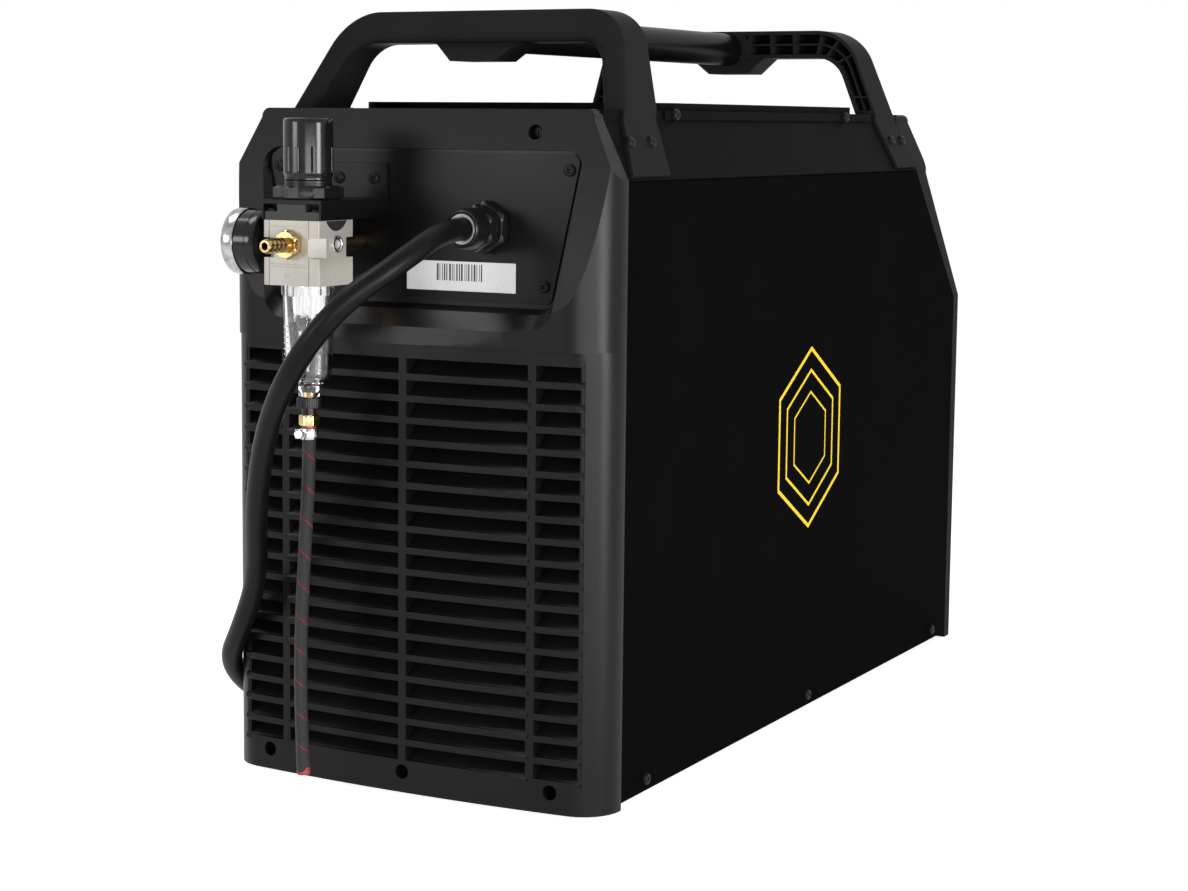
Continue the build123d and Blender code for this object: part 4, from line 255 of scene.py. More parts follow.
copper = finish(
    "copper_wire", rgb(0.42, 0.16, 0.06), rgb(0.62, 0.27, 0.12), (0.28, 0.4), 500, 0.0001,
    stretch=(1, 1, 0.1), values=METAL
)
clear = finish(
    "clear_plastic", grey(0.93), grey(0.985), (0.0, 0.03), 300, 0.000006, cloud=40,
    values={"Transmission Weight": 1.0, "IOR": 1.49}
)


def braid_finish():
    """Black braid of two crossing yarns, with a red tracer that winds round the hose; yarn crests
    are painted lighter as a highlight and the gaps between yarns painted darker as shade.
    """
    material, tree, shader = new_material("braid_black", sheen(0.15))
    place = add_node(tree, "ShaderNodeTexCoord").outputs["UV"]
    where = add_node(tree, "ShaderNodeSeparateXYZ", {0: place})
    around, along = where.outputs["X"], where.outputs["Y"]

    def math(operation, a, b=0.0):
        return add_node(tree, "ShaderNodeMath", {0: a, 1: b}, operation=operation).outputs[0]

    strands = 14 * 2 * pi
    yarns = []
    for way in (1, -1):
        turns = math("MULTIPLY", around, strands)
        wound = math("ADD", turns, math("MULTIPLY", along, way * strands))
        yarns.append(math("SINE", wound))
    weave = math("ADD", math("MULTIPLY", math("MAXIMUM", *yarns), 0.5), 0.5)
    # Painted light: yarn crests lighter as a painted highlight, gaps between yarns darker as
    # painted shade
    yarn_painted_light = ramp(tree, weave, [(0.35, grey(0.0015)), (0.8, grey(0.006)), (1.0, grey(0.05))])
    winding = math("ADD", around, math("MULTIPLY", along, 1.26))
    tracer = math("LESS_THAN", math("FRACT", winding), 0.05)
    shades = {"Factor": tracer, "A": yarn_painted_light, "B": rgb(0.17, 0.010, 0.012)}
    colour = add_node(tree, "ShaderNodeMix", shades, data_type="RGBA")
    tree.links.new(colour.outputs["Result"], shader.inputs["Base Color"])
    tree.links.new(spread(tree, weave, 0.55, 0.38), shader.inputs["Roughness"])
    bump(tree, shader, weave, 0.0003)
    return material


braid = braid_finish()

NODE_FINISH = {
    "base_pan": paint, "left_side_panel": paint, "right_side_panel": paint,
    "left_shoulder": tray_paint, "right_shoulder": tray_paint, "top_tray": tray_paint,
    "rear_plate": plate_paint, "rear_bezel": moulded, "front_bezel": front_moulded,
    "rear_handle_arch": handle, "front_handle_arch": handle, "fan_frame": nylon,
    "fan_rotor": nylon, "regulator_knob": gloss, "encoder_knob": handle, "power_switch": handle,
    "switch_plate": nylon, "grip_tube": tube_black, "rubber_feet": rubber, "mains_cable": rubber,
    "mains_coil": rubber, "drain_hose": rubber, "handle_screws": screw_black,
    "casing_screws": screw_black, "plate_screws": screw_black, "hose_clamp": steel,
    "adjusting_screw": steel, "port_plug": steel, "cable_gland": nylon, "gland_dome_nut": nylon,
    "gland_locknut": nylon, "mains_plug": red, "button_left": red, "button_right": red,
    "plug_pins": brass, "inlet_barb": brass, "outlet_nipple": brass, "drain_nipple": brass,
    "solenoid_valve": brass, "filter_bracket": plate_paint, "bracket_nut": nylon,
    "regulator_bonnet": nylon, "filter_body": nickel, "gauge_case": gloss, "drain_cock": nylon,
    "torch_socket": nylon, "work_socket": nylon, "gauge_ring": chrome, "gauge_lens": white,
    "filter_bowl": white, "display_window": gloss, "gauge_dial": white, "filter_element": white,
    "gauge_pointer": nylon, "heatsink": alloy, "capacitors": alloy, "power_board": board,
    "power_modules": nylon, "wound_cores": copper, "control_panel": gloss,
}
for name, material in NODE_FINISH.items():
    mesh = nodes[name].data
    mesh.materials.clear()
    mesh.materials.append(material)


# Mesh helpers: a shape is scaled to metres when its piece is made
EDGE_ANGLE = 35  # degrees, edges sharper than this stay sharp or get a round


def spot(origin, axis=(0, 0, 1), side=(1, 0, 0)):
    """Frame at a point: its Z along an axis, its X near a side direction."""
    z = Vector(axis).normalized()
    x = (Vector(side) - z * z.dot(Vector(side))).normalized()
    return Matrix.Translation(origin) @ Matrix((x, z.cross(x), z)).transposed().to_4x4()


def ring(bm, at, outline, height):
    """Closed ring of vertices at a height of a frame."""
    return [bm.verts.new(at @ Vector((x, y, height))) for x, y in outline]


def band(bm, low, high):
    """Strip of faces between two closed rings; a ring of one vertex makes a fan."""
    count = max(len(low), len(high))
    for i in range(count if count > 1 else 0):
        j = (i + 1) % count
        lower = low[i % len(low)], low[j % len(low)]
        upper = high[j % len(high)], high[i % len(high)]
        bm.faces.new(list(dict.fromkeys(lower + upper)))


def circle(radius, steps, turn=0.0):
    """Corners of a regular polygon."""
    angles = [2 * pi * i / steps + turn for i in range(steps)]
    return [(radius * cos(angle), radius * sin(angle)) for angle in angles]


def box_outline(width, height, radius=0.0, centre=(0, 0), steps=4):
    """Rectangle, with round corners if a radius is given."""
    found = []
    for k, (sx, sy) in enumerate(((1, 1), (-1, 1), (-1, -1), (1, -1))):
        for i in range(steps + 1 if radius else 1):
            angle = radians(90 * k + 90 * i / steps)
            x = sx * (width / 2 - radius) + radius * cos(angle)
            y = sy * (height / 2 - radius) + radius * sin(angle)
            found.append((centre[0] + x, centre[1] + y))
    return found


def lathe(bm, at, profile, steps=64, closed=False, wave=None):
    """Turned surface through (radius, height) points; a third number is a wave's depth there."""
    rings = []
    for radius, height, *depth in profile:
        if radius < 1e-6:
            rings.append([bm.verts.new(at @ Vector((0, 0, height)))])
            continue
        outline = circle(radius, steps)
        if depth:
            cut = [1 - depth[0] * wave(2 * pi * i / steps) / radius for i in range(steps)]
            outline = [(x * share, y * share) for (x, y), share in zip(outline, cut)]
        rings.append(ring(bm, at, outline, height))
    for low, high in zip(rings, rings[1:] + rings[:1] if closed else rings[1:]):
        band(bm, low, high)


def ripple(count):
    """Wave with a number of hollows in a turn, for lathe()."""
    return lambda angle: 0.5 - 0.5 * cos(count * angle)


def hoop(bm, at, first, second, low, high):
    """Closed frame between two outlines and two heights."""
    rings = [ring(bm, at, outline, height) for height in (low, high) for outline in (first, second)]
    for a, b in ((0, 1), (1, 3), (3, 2), (2, 0)):
        band(bm, rings[a], rings[b])


def slits(angle):
    """Wave of twelve narrow slits in a turn, for a lathe of 144 steps."""
    return round(angle * 72 / pi) % 12 == 5


def prism(bm, at, outline, low, high):
    """Solid between two heights over an outline."""
    ends = ring(bm, at, outline, low), ring(bm, at, outline, high)
    bm.faces.new(ends[0][::-1])
    band(bm, *ends)
    bm.faces.new(ends[1])


def hex_outline(flats, steps, limit=inf):
    """Hexagon of many points with two corners on X, cut round at a limit."""
    turns = [(2 * pi * i / steps + pi / 6) % (pi / 3) - pi / 6 for i in range(steps)]
    reach = [min(flats / 2 / cos(turn), limit) for turn in turns]
    return [(r * x, r * y) for r, (x, y) in zip(reach, circle(1, steps))]


def hexagon(bm, at, flats, low, high, bore=0.0, chamfer=0.8):
    """Nut with its corners turned off at both ends, two corners on the frame's X."""
    corner, inset = flats / sqrt(3), flats * 0.49
    levels = ((inset, low), (corner, low + chamfer), (corner, high - chamfer), (inset, high))
    rings = [ring(bm, at, hex_outline(flats, 96, limit), height) for limit, height in levels]
    for a, b in zip(rings, rings[1:]):
        band(bm, a, b)
    if bore:
        inner = [ring(bm, at, circle(bore, 96), height) for height in (low, high)]
        band(bm, inner[0], rings[0])
        band(bm, rings[-1], inner[1])
        band(bm, inner[1], inner[0])
    else:
        bm.faces.new(rings[0][::-1])
        bm.faces.new(rings[-1])


def carve(bm, cutter):
    """Shape with another cut from it."""
    work = []
    for source in (bm, cutter):
        bmesh.ops.remove_doubles(source, verts=source.verts, dist=1e-4)
        bmesh.ops.recalc_face_normals(source, faces=source.faces)
        mesh = bpy.data.meshes.new("work")
        source.to_mesh(mesh)
        source.free()
        work.append(bpy.data.objects.new("work", mesh))
        scene.collection.objects.link(work[-1])
    step = work[0].modifiers.new("cut", "BOOLEAN")
    step.operation, step.object, step.solver, step.use_self = "DIFFERENCE", work[1], "EXACT", True
    graph = bpy.context.evaluated_depsgraph_get()
    result = bmesh.new()
    result.from_mesh(work[0].evaluated_get(graph).to_mesh())
    for item in work:
        bpy.data.meshes.remove(item.data)
    return result


def round_edges(made, width, angle):
    """Small round on every sharp edge."""
    step = made.modifiers.new("round", "BEVEL")
    step.width, step.segments = width * MM, 2
    step.limit_method, step.angle_limit = "ANGLE", radians(angle)
    step.harden_normals = True


def dial_angle(step, steps):
    """Where a mark stands on a dial that runs clockwise through 270 degrees."""
    return radians(225 - 270 * step / steps)


def make_piece(name, bm, material, body="casing", replaces=(), bevel=0.0, sharp=EDGE_ANGLE):
    """Object from a drawn shape: it rides on a body and keeps its sharp edges."""
    bmesh.ops.remove_doubles(bm, verts=bm.verts, dist=1e-4)
    bmesh.ops.recalc_face_normals(bm, faces=bm.faces)
    for face in bm.faces:
        face.smooth = True
    for edge in bm.edges:
        edge.smooth = edge.is_manifold and edge.calc_face_angle() < radians(sharp)
    bm.transform(Matrix.Scale(MM, 4))
    mesh = bpy.data.meshes.new(name)
    bm.to_mesh(mesh)
    bm.free()
    mesh.materials.append(material)
    made = bpy.data.objects.new(name, mesh)
    scene.collection.objects.link(made)
    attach(made, body)
    if replaces:
        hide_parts(*replaces)
    if bevel:
        round_edges(made, bevel, sharp)
    return made


# Edges of the carried-over solids
def soften(names, width):
    """Round the hard edges of CAD nodes, width in metres; their own meshes stay as they are."""
    for name in names:
        weld = nodes[name].modifiers.new("weld", "WELD")
        weld.merge_threshold = 1e-6
        flat = nodes[name].modifiers.new("flat", "DECIMATE")
        flat.decimate_type = "DISSOLVE"
        flat.angle_limit = radians(0.2)
        edge = nodes[name].modifiers.new("edge", "BEVEL")
        edge.width = width
        edge.segments = 2
        edge.limit_method = "ANGLE"
        edge.angle_limit = radians(EDGE_ANGLE)
        even = nodes[name].modifiers.new("even", "WEIGHTED_NORMAL")
        even.keep_sharp = True


MOULDINGS = ("rear_bezel", "front_bezel", "rear_handle_arch", "front_handle_arch")
SHEETS = (
    "base_pan", "left_side_panel", "right_side_panel", "left_shoulder", "right_shoulder",
    "top_tray", "rear_plate", "filter_bracket", "control_panel", "switch_plate",
)
soften(MOULDINGS, 0.0006)
soften(SHEETS, 0.0004)


def stamp(bm, mesh, at):
    """Copy of a mesh set into a drawing at a frame."""
    count = len(bm.verts)
    bm.from_mesh(mesh)
    bm.verts.ensure_lookup_table()
    bmesh.ops.transform(bm, matrix=at, verts=bm.verts[count:])


def lettering(bm, text, at, size):
    """Plain raised figures, centred on a frame."""
    curve = bpy.data.curves.new("word", "FONT")
    curve.body, curve.size, curve.extrude = text, size, 0.06
    curve.align_x = curve.align_y = "CENTER"
    word = bpy.data.objects.new("word", curve)
    mesh = bpy.data.meshes.new_from_object(word)
    stamp(bm, mesh, at)
    bpy.data.meshes.remove(mesh)
    bpy.data.curves.remove(curve)


# Screws with cross recesses
def cross_screw(shank):
    """Round-headed screw standing on the origin, as a mesh."""
    bm = bmesh.new()
    here = Matrix.Identity(4)
    head = [(3.8, 0), (3.8, 0.9), (3.6, 1.6), (3.15, 2.15), (2.5, 2.4)]
    lathe(bm, here, [(0, -shank), (2.0, -shank), (2.0, 0)] + head, 24)
    arm = [(2.1, -0.5), (2.1, 0.5), (0.5, 0.5)]
    cross = arm + [(-y, x) for x, y in arm] + [(-x, -y) for x, y in arm] + [(y, -x) for x, y in arm]
    mouth = ring(bm, here, cross, 2.4)
    base = ring(bm, here, [(x * 0.6, y * 0.6) for x, y in cross], 1.0)
    band(bm, base, mouth)
    bm.faces.new(base)
    loops = (mouth, ring(bm, here, circle(2.5, 24), 2.4))
    pairs = [(loop[i - 1], loop[i]) for loop in loops for i in range(len(loop))]
    edges = [bm.edges.get(pair) or bm.edges.new(pair) for pair in pairs]
    bmesh.ops.triangle_fill(bm, use_beauty=True, edges=edges)
    mesh = bpy.data.meshes.new("screw")
    bm.to_mesh(mesh)
    bm.free()
    return mesh


def screws(name, seats, shank):
    """Group of screws on their seats, each turned differently."""
    mesh = cross_screw(shank)
    bm = bmesh.new()
    for i, seat in enumerate(seats):
        stamp(bm, mesh, seat @ Matrix.Rotation(radians(37 * i + 20), 4, "Z"))
    make_piece(name + "_cross", bm, screw_black, replaces=[name])


# Places that several pieces share, in millimetres
SIDES = (1, -1)
SIDE_X, PLATE_Y, FACE_Y = 140, -274.5, 354.5  # side panels, rear plate, front face
FILTER_X, FILTER_Y = -46, -331.5  # upright axis of the filter regulator
BODY_FRONT, PORT_Z = -350.5, 352.4  # its front face and the height of its ports
SHOULDER_X, SHOULDER_Z = 0.8983, 0.4394  # way the slanted shoulders face
BOSSES = ((-105, 15), (0, 15), (105, 15), (-82, 422), (82, 422))
side_seats = [
    spot((s * SIDE_X, y, 14), (s, 0, 0), (0, 1, 0)) for s in SIDES for y in (-227.5, 38.5, 304.5)
]
lip_seats = [
    spot((s * 123.5, y, 433.25), (s, 0, 0), (0, 1, 0)) for s in SIDES for y in (-163.5, 129.5)
]
rear_seats = [spot((x, -267.5, z), (0, -1, 0)) for x, z in BOSSES]
front_seats = [spot((x, 248.5 if z > 392 else 344.5, z), (0, 1, 0)) for x, z in BOSSES]
handle_seats = [
    spot((s * 131.31, y, 415.97), (s * SHOULDER_X, 0, SHOULDER_Z), (0, 1, 0))
    for s in SIDES
    for y in (-243.5, -214.5, 206.5, 228.5)
]
plate_holes = ((106.5, 399), (89.5, 327.5))
plate_seats = [spot((s * x, PLATE_Y, z), (0, -1, 0)) for s in SIDES for x, z in plate_holes]
bracket_seats = [spot((x, -277, 392), (0, -1, 0)) for x in (-59, -33)]
screws("handle_screws", handle_seats, 9)
screws("casing_screws", side_seats + lip_seats + rear_seats + front_seats, 9)
screws("plate_screws", plate_seats + bracket_seats, 6.3)

# Cable gland: hexagon on the plate, domed nut with a hexagonal foot, seal round the cable whose
# pale grey is partly the seal's own tone and partly a painted highlight
gland_at = spot((50, PLATE_Y, 363), (0, -1, 0))
bm = bmesh.new()
hexagon(bm, gland_at, 29, 0, 9, chamfer=1.6)
lathe(bm, gland_at, [(0, -10), (12.3, -10), (12.3, 0), (0, 0)], 48)
make_piece("gland_hexagon", bm, nylon, replaces=["cable_gland"], bevel=0.3)
bm = bmesh.new()
hexagon(bm, gland_at, 25.2, 9.3, 20, bore=10.4, chamfer=1.4)
dome = [(10.4, 20), (12.6, 20), (12.9, 21), (12.8, 25), (12.5, 29), (12.0, 32.5), (11.5, 34.4)]
dome += [(10.9, 35), (9.9, 34.6), (9.6, 33), (9.5, 26), (10.4, 26)]
lathe(bm, gland_at, dome, 64, closed=True)
make_piece("gland_dome", bm, nylon, replaces=["gland_dome_nut"])
# Seal round the cable: its pale grey is partly a painted highlight
bm = bmesh.new()
seal_line = [(9.4, 33.6), (8.9, 34.1), (8.2, 33.8), (7.15, 32.4), (7.15, 26), (9.4, 26)]
lathe(bm, gland_at, seal_line, 64, closed=True)
make_piece("gland_seal", bm, seal)

# Regulator: knob with slits round its skirt, nut and collar, bonnet, cast body
filter_at = spot((FILTER_X, FILTER_Y, 0))
knob_line = [(13, 391.4), (14.3, 391.4), (14.7, 391.9), (14.7, 393.8), (15.1, 394.6), (15.5, 395.4)]
knob_line += [(15.5, 396.2, 0), (15.5, 397, 0.8), (15.48, 411.5, 0.8), (15.48, 412.3, 0)]
knob_line += [(15.4, 426), (15.3, 427.7), (14.9, 428.8), (14.1, 429.3), (12.6, 429.4), (0, 429.1)]
knob_line += [(0, 424.4), (5.05, 424.4), (5.05, 404), (7.5, 404), (7.5, 424.4), (13, 424.4)]
bm = bmesh.new()
lathe(bm, filter_at, knob_line, 144, closed=True, wave=slits)
make_piece(
    "knob_cap", bm, gloss, "regulator_knob_body", ["regulator_knob"], sharp=28
)
bm = bmesh.new()
hexagon(bm, filter_at, 38, 379.5, 388, bore=13.2, chamfer=1.3)
collar = [(13.2, 388), (14.8, 388), (14.8, 389.1), (14.3, 389.3), (14.3, 389.7), (14.8, 389.9)]
lathe(bm, filter_at, collar + [(14.8, 391), (13.2, 391)], 64, closed=True)
make_piece("panel_nut", bm, nylon, replaces=["bracket_nut"])

bm = bmesh.new()
prism(bm, filter_at, box_outline(41, 38, 2), 367, 377)
notches = bmesh.new()
for x in (-16, 16):
    prism(notches, filter_at, box_outline(11, 11, centre=(x, -15)), 372.4, 378)
bm = carve(bm, notches)
spindle = [(5.05, 373.8), (5.05, 401), (11, 401), (11, 391), (13, 391), (13, 376)]
lathe(bm, filter_at, spindle, 48, closed=True)
for side in SIDES:
    leaf = [(13.4 * sin(radians(a)), 373.9 - 13.4 * cos(radians(a))) for a in range(-58, 59, 4)]
    leaf_at = spot((FILTER_X + side * 19.9, FILTER_Y, 0), (side, 0, 0), (0, side, 0))
    prism(bm, leaf_at, leaf, 0, 0.9)
make_piece("bonnet", bm, bonnet_black, replaces=["regulator_bonnet"], bevel=0.3)
screw_mesh = cross_screw(3)
bm = bmesh.new()
for x in (-62.2, -29.8):
    stamp(bm, screw_mesh, spot((x, -346.6, 372.4)) @ Matrix.Scale(0.85, 4))
make_piece("bonnet_screws", bm, screw_black)

bm = bmesh.new()
prism(bm, filter_at, box_outline(41, 38, 0.8), 327, 367)
cuts = bmesh.new()
for x in (-20.5, 20.5):
    for y in (-19, 19):
        corner_at = filter_at @ Matrix.Translation((x, y, 0)) @ Matrix.Rotation(radians(45), 4, "Z")
        prism(cuts, corner_at, box_outline(11.3, 11.3), 344, 356.4)
front_at = spot((FILTER_X, BODY_FRONT, 0), (0, -1, 0), (1, 0, 0))
for x, low, high in ((-16.3, 327, 344), (-16.3, 356.4, 367), (12.9, 327, 344), (12.9, 356.4, 367)):
    prism(cuts, front_at, box_outline(0.5, high - low + 2, centre=(x, (low + high) / 2)), -0.5, 1)
for z in (363.3, 340.2, 338.6):
    prism(cuts, front_at, box_outline(27, 0.55, centre=(-1.7, z)), -0.5, 1)
bm = carve(bm, cuts)
lettering(bm, "IN", spot((-49, -350.6, 333), (0, -1, 0), (1, 0, 0)), 4.2)
make_piece("regulator_body", bm, nickel, replaces=["filter_body"], bevel=0.3)

# Ports: barb for the air hose in front, plug with a hexagonal socket on the right
barb_at = spot((FILTER_X, BODY_FRONT, PORT_Z), (0, -1, 0))
barb_line = [(2.3, -7), (6.35, -7), (6.35, 0), (4.4, 0.5), (4.4, 9.9)]
for end in (14.1, 18.8, 23.4, 28):
    barb_line += [(4.3, end - 4.0), (4.8, end - 3.8), (4.85, end - 3.3)]
    barb_line += [(3.95, end - 0.3), (3.85, end)]
bm = bmesh.new()
lathe(bm, barb_at, barb_line + [(3.5, 28.2), (2.6, 28.2), (2.3, 27.8)], 48, closed=True)
hexagon(bm, barb_at, 16, 0.1, 7, bore=4.2, chamfer=1.1)
make_piece("air_barb", bm, brass, replaces=["inlet_barb"])
plug_at = spot((-25.5, FILTER_Y, PORT_Z), (1, 0, 0), (0, 1, 0))
socket = hex_outline(5.4, 48)
bm = bmesh.new()
plug_line = [(0, -7), (4.35, -7), (4.35, 0), (5.5, 0), (5.6, 0.8), (5.3, 1.4), (4.8, 1.5)]
lathe(bm, plug_at, plug_line + [(4.3, 1.3), (4.0, 0.9)], 48)
mouth, base = ring(bm, plug_at, socket, 0.9), ring(bm, plug_at, socket, -2)
band(bm, ring(bm, plug_at, circle(4.0, 48), 0.9), mouth)
band(bm, mouth, base)
bm.faces.new(base)
make_piece("socket_plug", bm, chrome, replaces=["port_plug"])

# Pressure gauge: black case, bright ring, printed dial, lens
gauge_at = spot((-56, FILTER_Y, PORT_Z), (-1, 0, 0), (0, -1, 0))
case_line = [(0, 3.5), (6.35, 3.5), (6.35, 10.5), (5, 10.9), (5, 17.2), (13, 17.5), (17.4, 17.8)]
case_line += [(19.2, 18.8), (20, 20.6), (20, 24), (19.6, 24.3), (19.6, 25), (20, 25.3), (20, 39.5)]
case_line += [(18, 39.5), (18, 28.5), (1.05, 28.5), (1.05, 24.5), (0, 24.5)]
bm = bmesh.new()
lathe(bm, gauge_at, case_line, 72)
hexagon(bm, gauge_at, 16, 10.6, 16.6, bore=4.8, chamfer=1.1)
make_piece("gauge_shell", bm, gloss, replaces=["gauge_case"])
bezel_line = [(20.05, 33.6), (20.7, 33.6), (20.95, 34), (20.95, 40.6), (20.7, 41.8), (19.9, 42.5)]
bezel_line += [(18.8, 42.6), (17.8, 42.2), (17.2, 41.5), (17, 41.1), (20.05, 41.1)]
bm = bmesh.new()
lathe(bm, gauge_at, bezel_line, 96, closed=True)
make_piece("gauge_bezel", bm, ring_steel, replaces=["gauge_ring"])
plate_line = [(2, 28.5), (17.85, 28.5), (17.85, 29.05), (17.6, 29.1), (2, 29.1)]
bm = bmesh.new()
lathe(bm, gauge_at, plate_line, 72, closed=True)
make_piece("dial_plate", bm, white, replaces=["gauge_dial"])
bm = bmesh.new()
for step in range(51):
    angle = dial_angle(step, 50)
    size = (3.0, 0.55) if step % 5 == 0 else (1.7, 0.3)
    mark = box_outline(*size, centre=(15.6 - size[0] / 2, 0))
    prism(bm, gauge_at @ Matrix.Rotation(angle, 4, "Z"), mark, 29.05, 29.16)
    if step % 10 == 0:
        figure = gauge_at @ Matrix.Translation((10.2 * cos(angle), 10.2 * sin(angle), 29.08))
        lettering(bm, str(step // 5), figure, 3.6)
make_piece("dial_figures", bm, ink)
bm = bmesh.new()
needle = [(13, -0.12), (13, 0.12), (1.6, 0.75), (-4.4, 0.95), (-4.4, -0.95), (1.6, -0.75)]
pointer_at = gauge_at @ Matrix.Rotation(dial_angle(0, 50), 4, "Z")
prism(bm, pointer_at, needle, 29.7, 30.2)
hub = [(0, 24.8), (1, 24.8), (1, 29.5), (2, 29.6), (2, 30.3), (1.5, 30.7), (0, 30.8)]
lathe(bm, pointer_at, hub, 32)
make_piece("dial_needle", bm, needle_red, "pointer", ["gauge_pointer"])
bm = bmesh.new()
lens_line = [(0, 39.6), (19.8, 39.6), (19.8, 40.9), (17, 41.05), (12, 41.3), (6, 41.45), (0, 41.5)]
lathe(bm, gauge_at, lens_line, 72)
make_piece("gauge_glass", bm, clear, replaces=["gauge_lens"])

# Clear bowl with a scalloped collar, pleated element, drain cock, brass nipple
bowl_line = [(17.2, 327, 0.9), (17.2, 321.5, 0.9), (16.9, 320.6, 0.9), (16.35, 320, 0), (15.2, 290)]
bowl_line += [(14.15, 272), (13.9, 269.5), (13.1, 267.3), (11.8, 265.8), (10, 265.1), (6.9, 264.9)]
bowl_line += [(6.5, 264.4), (6.5, 257.3), (6.2, 257), (4.15, 257), (4.15, 260.2), (0, 260.2)]
bowl_line += [(0, 267.4), (9.5, 267.4), (11, 268.2), (11.7, 270), (11.8, 272), (13.9, 320)]
bowl_line += [(14.1, 327)]
bm = bmesh.new()
lathe(bm, filter_at, bowl_line, 112, closed=True, wave=ripple(14))
make_piece("clear_bowl", bm, clear, replaces=["filter_bowl"], sharp=50)
bm = bmesh.new()
pleats = [(0, 327), (9.5, 327), (9.5, 325.2), (9.5, 325, 0.6), (9.5, 309, 0.6), (9.5, 308.8)]
lathe(bm, filter_at, pleats + [(9.5, 307), (0, 307)], 96, wave=ripple(24))
make_piece("pleated_element", bm, white, replaces=["filter_element"])
bm = bmesh.new()
baffle = [(0, 307), (11.4, 307), (12.3, 305.6), (12.5, 304.5), (8, 304), (4, 298), (3, 297)]
lathe(bm, filter_at, baffle + [(0, 297)], 64)
for step in range(12):
    turn = filter_at @ Matrix.Rotation(radians(30 * step), 4, "Z")
    prism(bm, turn @ Matrix.Translation((10.8, 0, 0)), box_outline(2.6, 0.8), 305, 309)
make_piece("element_baffle", bm, baffle_grey)
bm = bmesh.new()
for step in range(7):
    for i in range(4 if step % 2 == 0 else 2):
        angle, reach = radians(222 + 4.5 * i), 15.55 - 0.05 * step
        at = filter_at @ Matrix.Rotation(angle, 4, "Z") @ Matrix.Translation((reach, 0, 0))
        prism(bm, at, box_outline(0.3, 1.26), 300.6 - 3.4 * step, 301.2 - 3.4 * step)
make_piece("bowl_scale", bm, white)
cock_line = [(4.05, 256.7), (7.1, 256.7), (7.6, 256.3), (7.8, 255.6, 0.35), (7.8, 250.9, 0.35)]
cock_line += [(7.6, 250.1), (7.1, 249.7), (4.05, 249.7)]
bm = bmesh.new()
lathe(bm, filter_at, cock_line, 144, closed=True, wave=ripple(36))
make_piece("cock_ring", bm, nylon, "drain", ["drain_cock"])
bm = bmesh.new()
hexagon(bm, filter_at, 11, 238.7, 245.7, chamfer=0.7)
lathe(bm, filter_at, [(0, 245.5), (4, 245.5), (4, 260.1), (0, 260.1)], 40)
make_piece("nipple_brass", bm, brass, replaces=["drain_nipple"])
# Dark sleeve over the brass neck between hex and drain cock: painted shade where the neck lies in
# shadow
bm = bmesh.new()
lathe(bm, filter_at, [(4.02, 245.8), (4.5, 245.8), (4.5, 249.3), (4.02, 249.3)], 40, closed=True)
make_piece("nipple_neck_painted_shade", bm, nylon)

# Hose clamp: slotted band with a worm screw in its housing
clamp_at = filter_at @ Matrix.Rotation(radians(-140), 4, "Z")
bm = bmesh.new()
clamp_line = [(4.3, 230.2), (5.3, 230.2), (5.5, 230.5), (5.5, 236.9), (5.3, 237.2), (4.3, 237.2)]
lathe(bm, filter_at, clamp_line, 72, closed=True)
for step in range(9):
    turn = clamp_at @ Matrix.Rotation(radians(48 + 11 * step), 4, "Z")
    notch_at = turn @ Matrix.Translation((5.5, 0, 233.7)) @ Matrix.Rotation(radians(20), 4, "X")
    prism(bm, notch_at, box_outline(0.35, 0.5), -1.9, 1.9)
prism(bm, clamp_at @ Matrix.Translation((7, 0, 0)), box_outline(3.6, 5.4, 1.2), 230.8, 236.6)
worm_at = clamp_at @ Matrix.Translation((7.2, 0, 233.7)) @ Matrix.Rotation(radians(-90), 4, "X")
lathe(bm, worm_at, [(0, -4), (1.9, -4), (1.9, 3.2), (2.6, 3.3), (2.6, 5), (2.2, 5.3), (0, 5.3)], 24)
make_piece("worm_clamp", bm, steel, replaces=["hose_clamp"], bevel=0.15)

# Label of plain bars on the rear plate, hexagon lines on both side panels
plate_at = spot((0, PLATE_Y, 0), (0, -1, 0))
bm = bmesh.new()
prism(bm, plate_at, box_outline(79, 18.5, 0.6, centre=(29.8, 331.8)), 0.02, 0.16)
make_piece("plain_label", bm, label_white)
bm = bmesh.new()
place = 12.4
for step in range(19):
    wide = (1.3, 0.5, 0.8, 0.5, 1.0)[step * 3 % 5]
    prism(bm, plate_at, box_outline(wide, 10.6, centre=(place + wide / 2, 334.2)), 0.15, 0.2)
    place += wide + (0.7, 1.3, 0.9)[step % 3]
make_piece("label_bars", bm, ink)
for side, name in ((1, "right"), (-1, "left")):
    bm = bmesh.new()
    panel_at = spot((side * SIDE_X, 34, 204), (side, 0, 0), (0, 1, 0))
    for reach, wide in ((66, 3.2), (50, 2.4), (34, 1.8)):
        hoop(bm, panel_at, circle(reach, 6, pi / 6), circle(reach - wide, 6, pi / 6), 0.01, 0.09)
    make_piece(name + "_hexagons", bm, stripe_yellow)

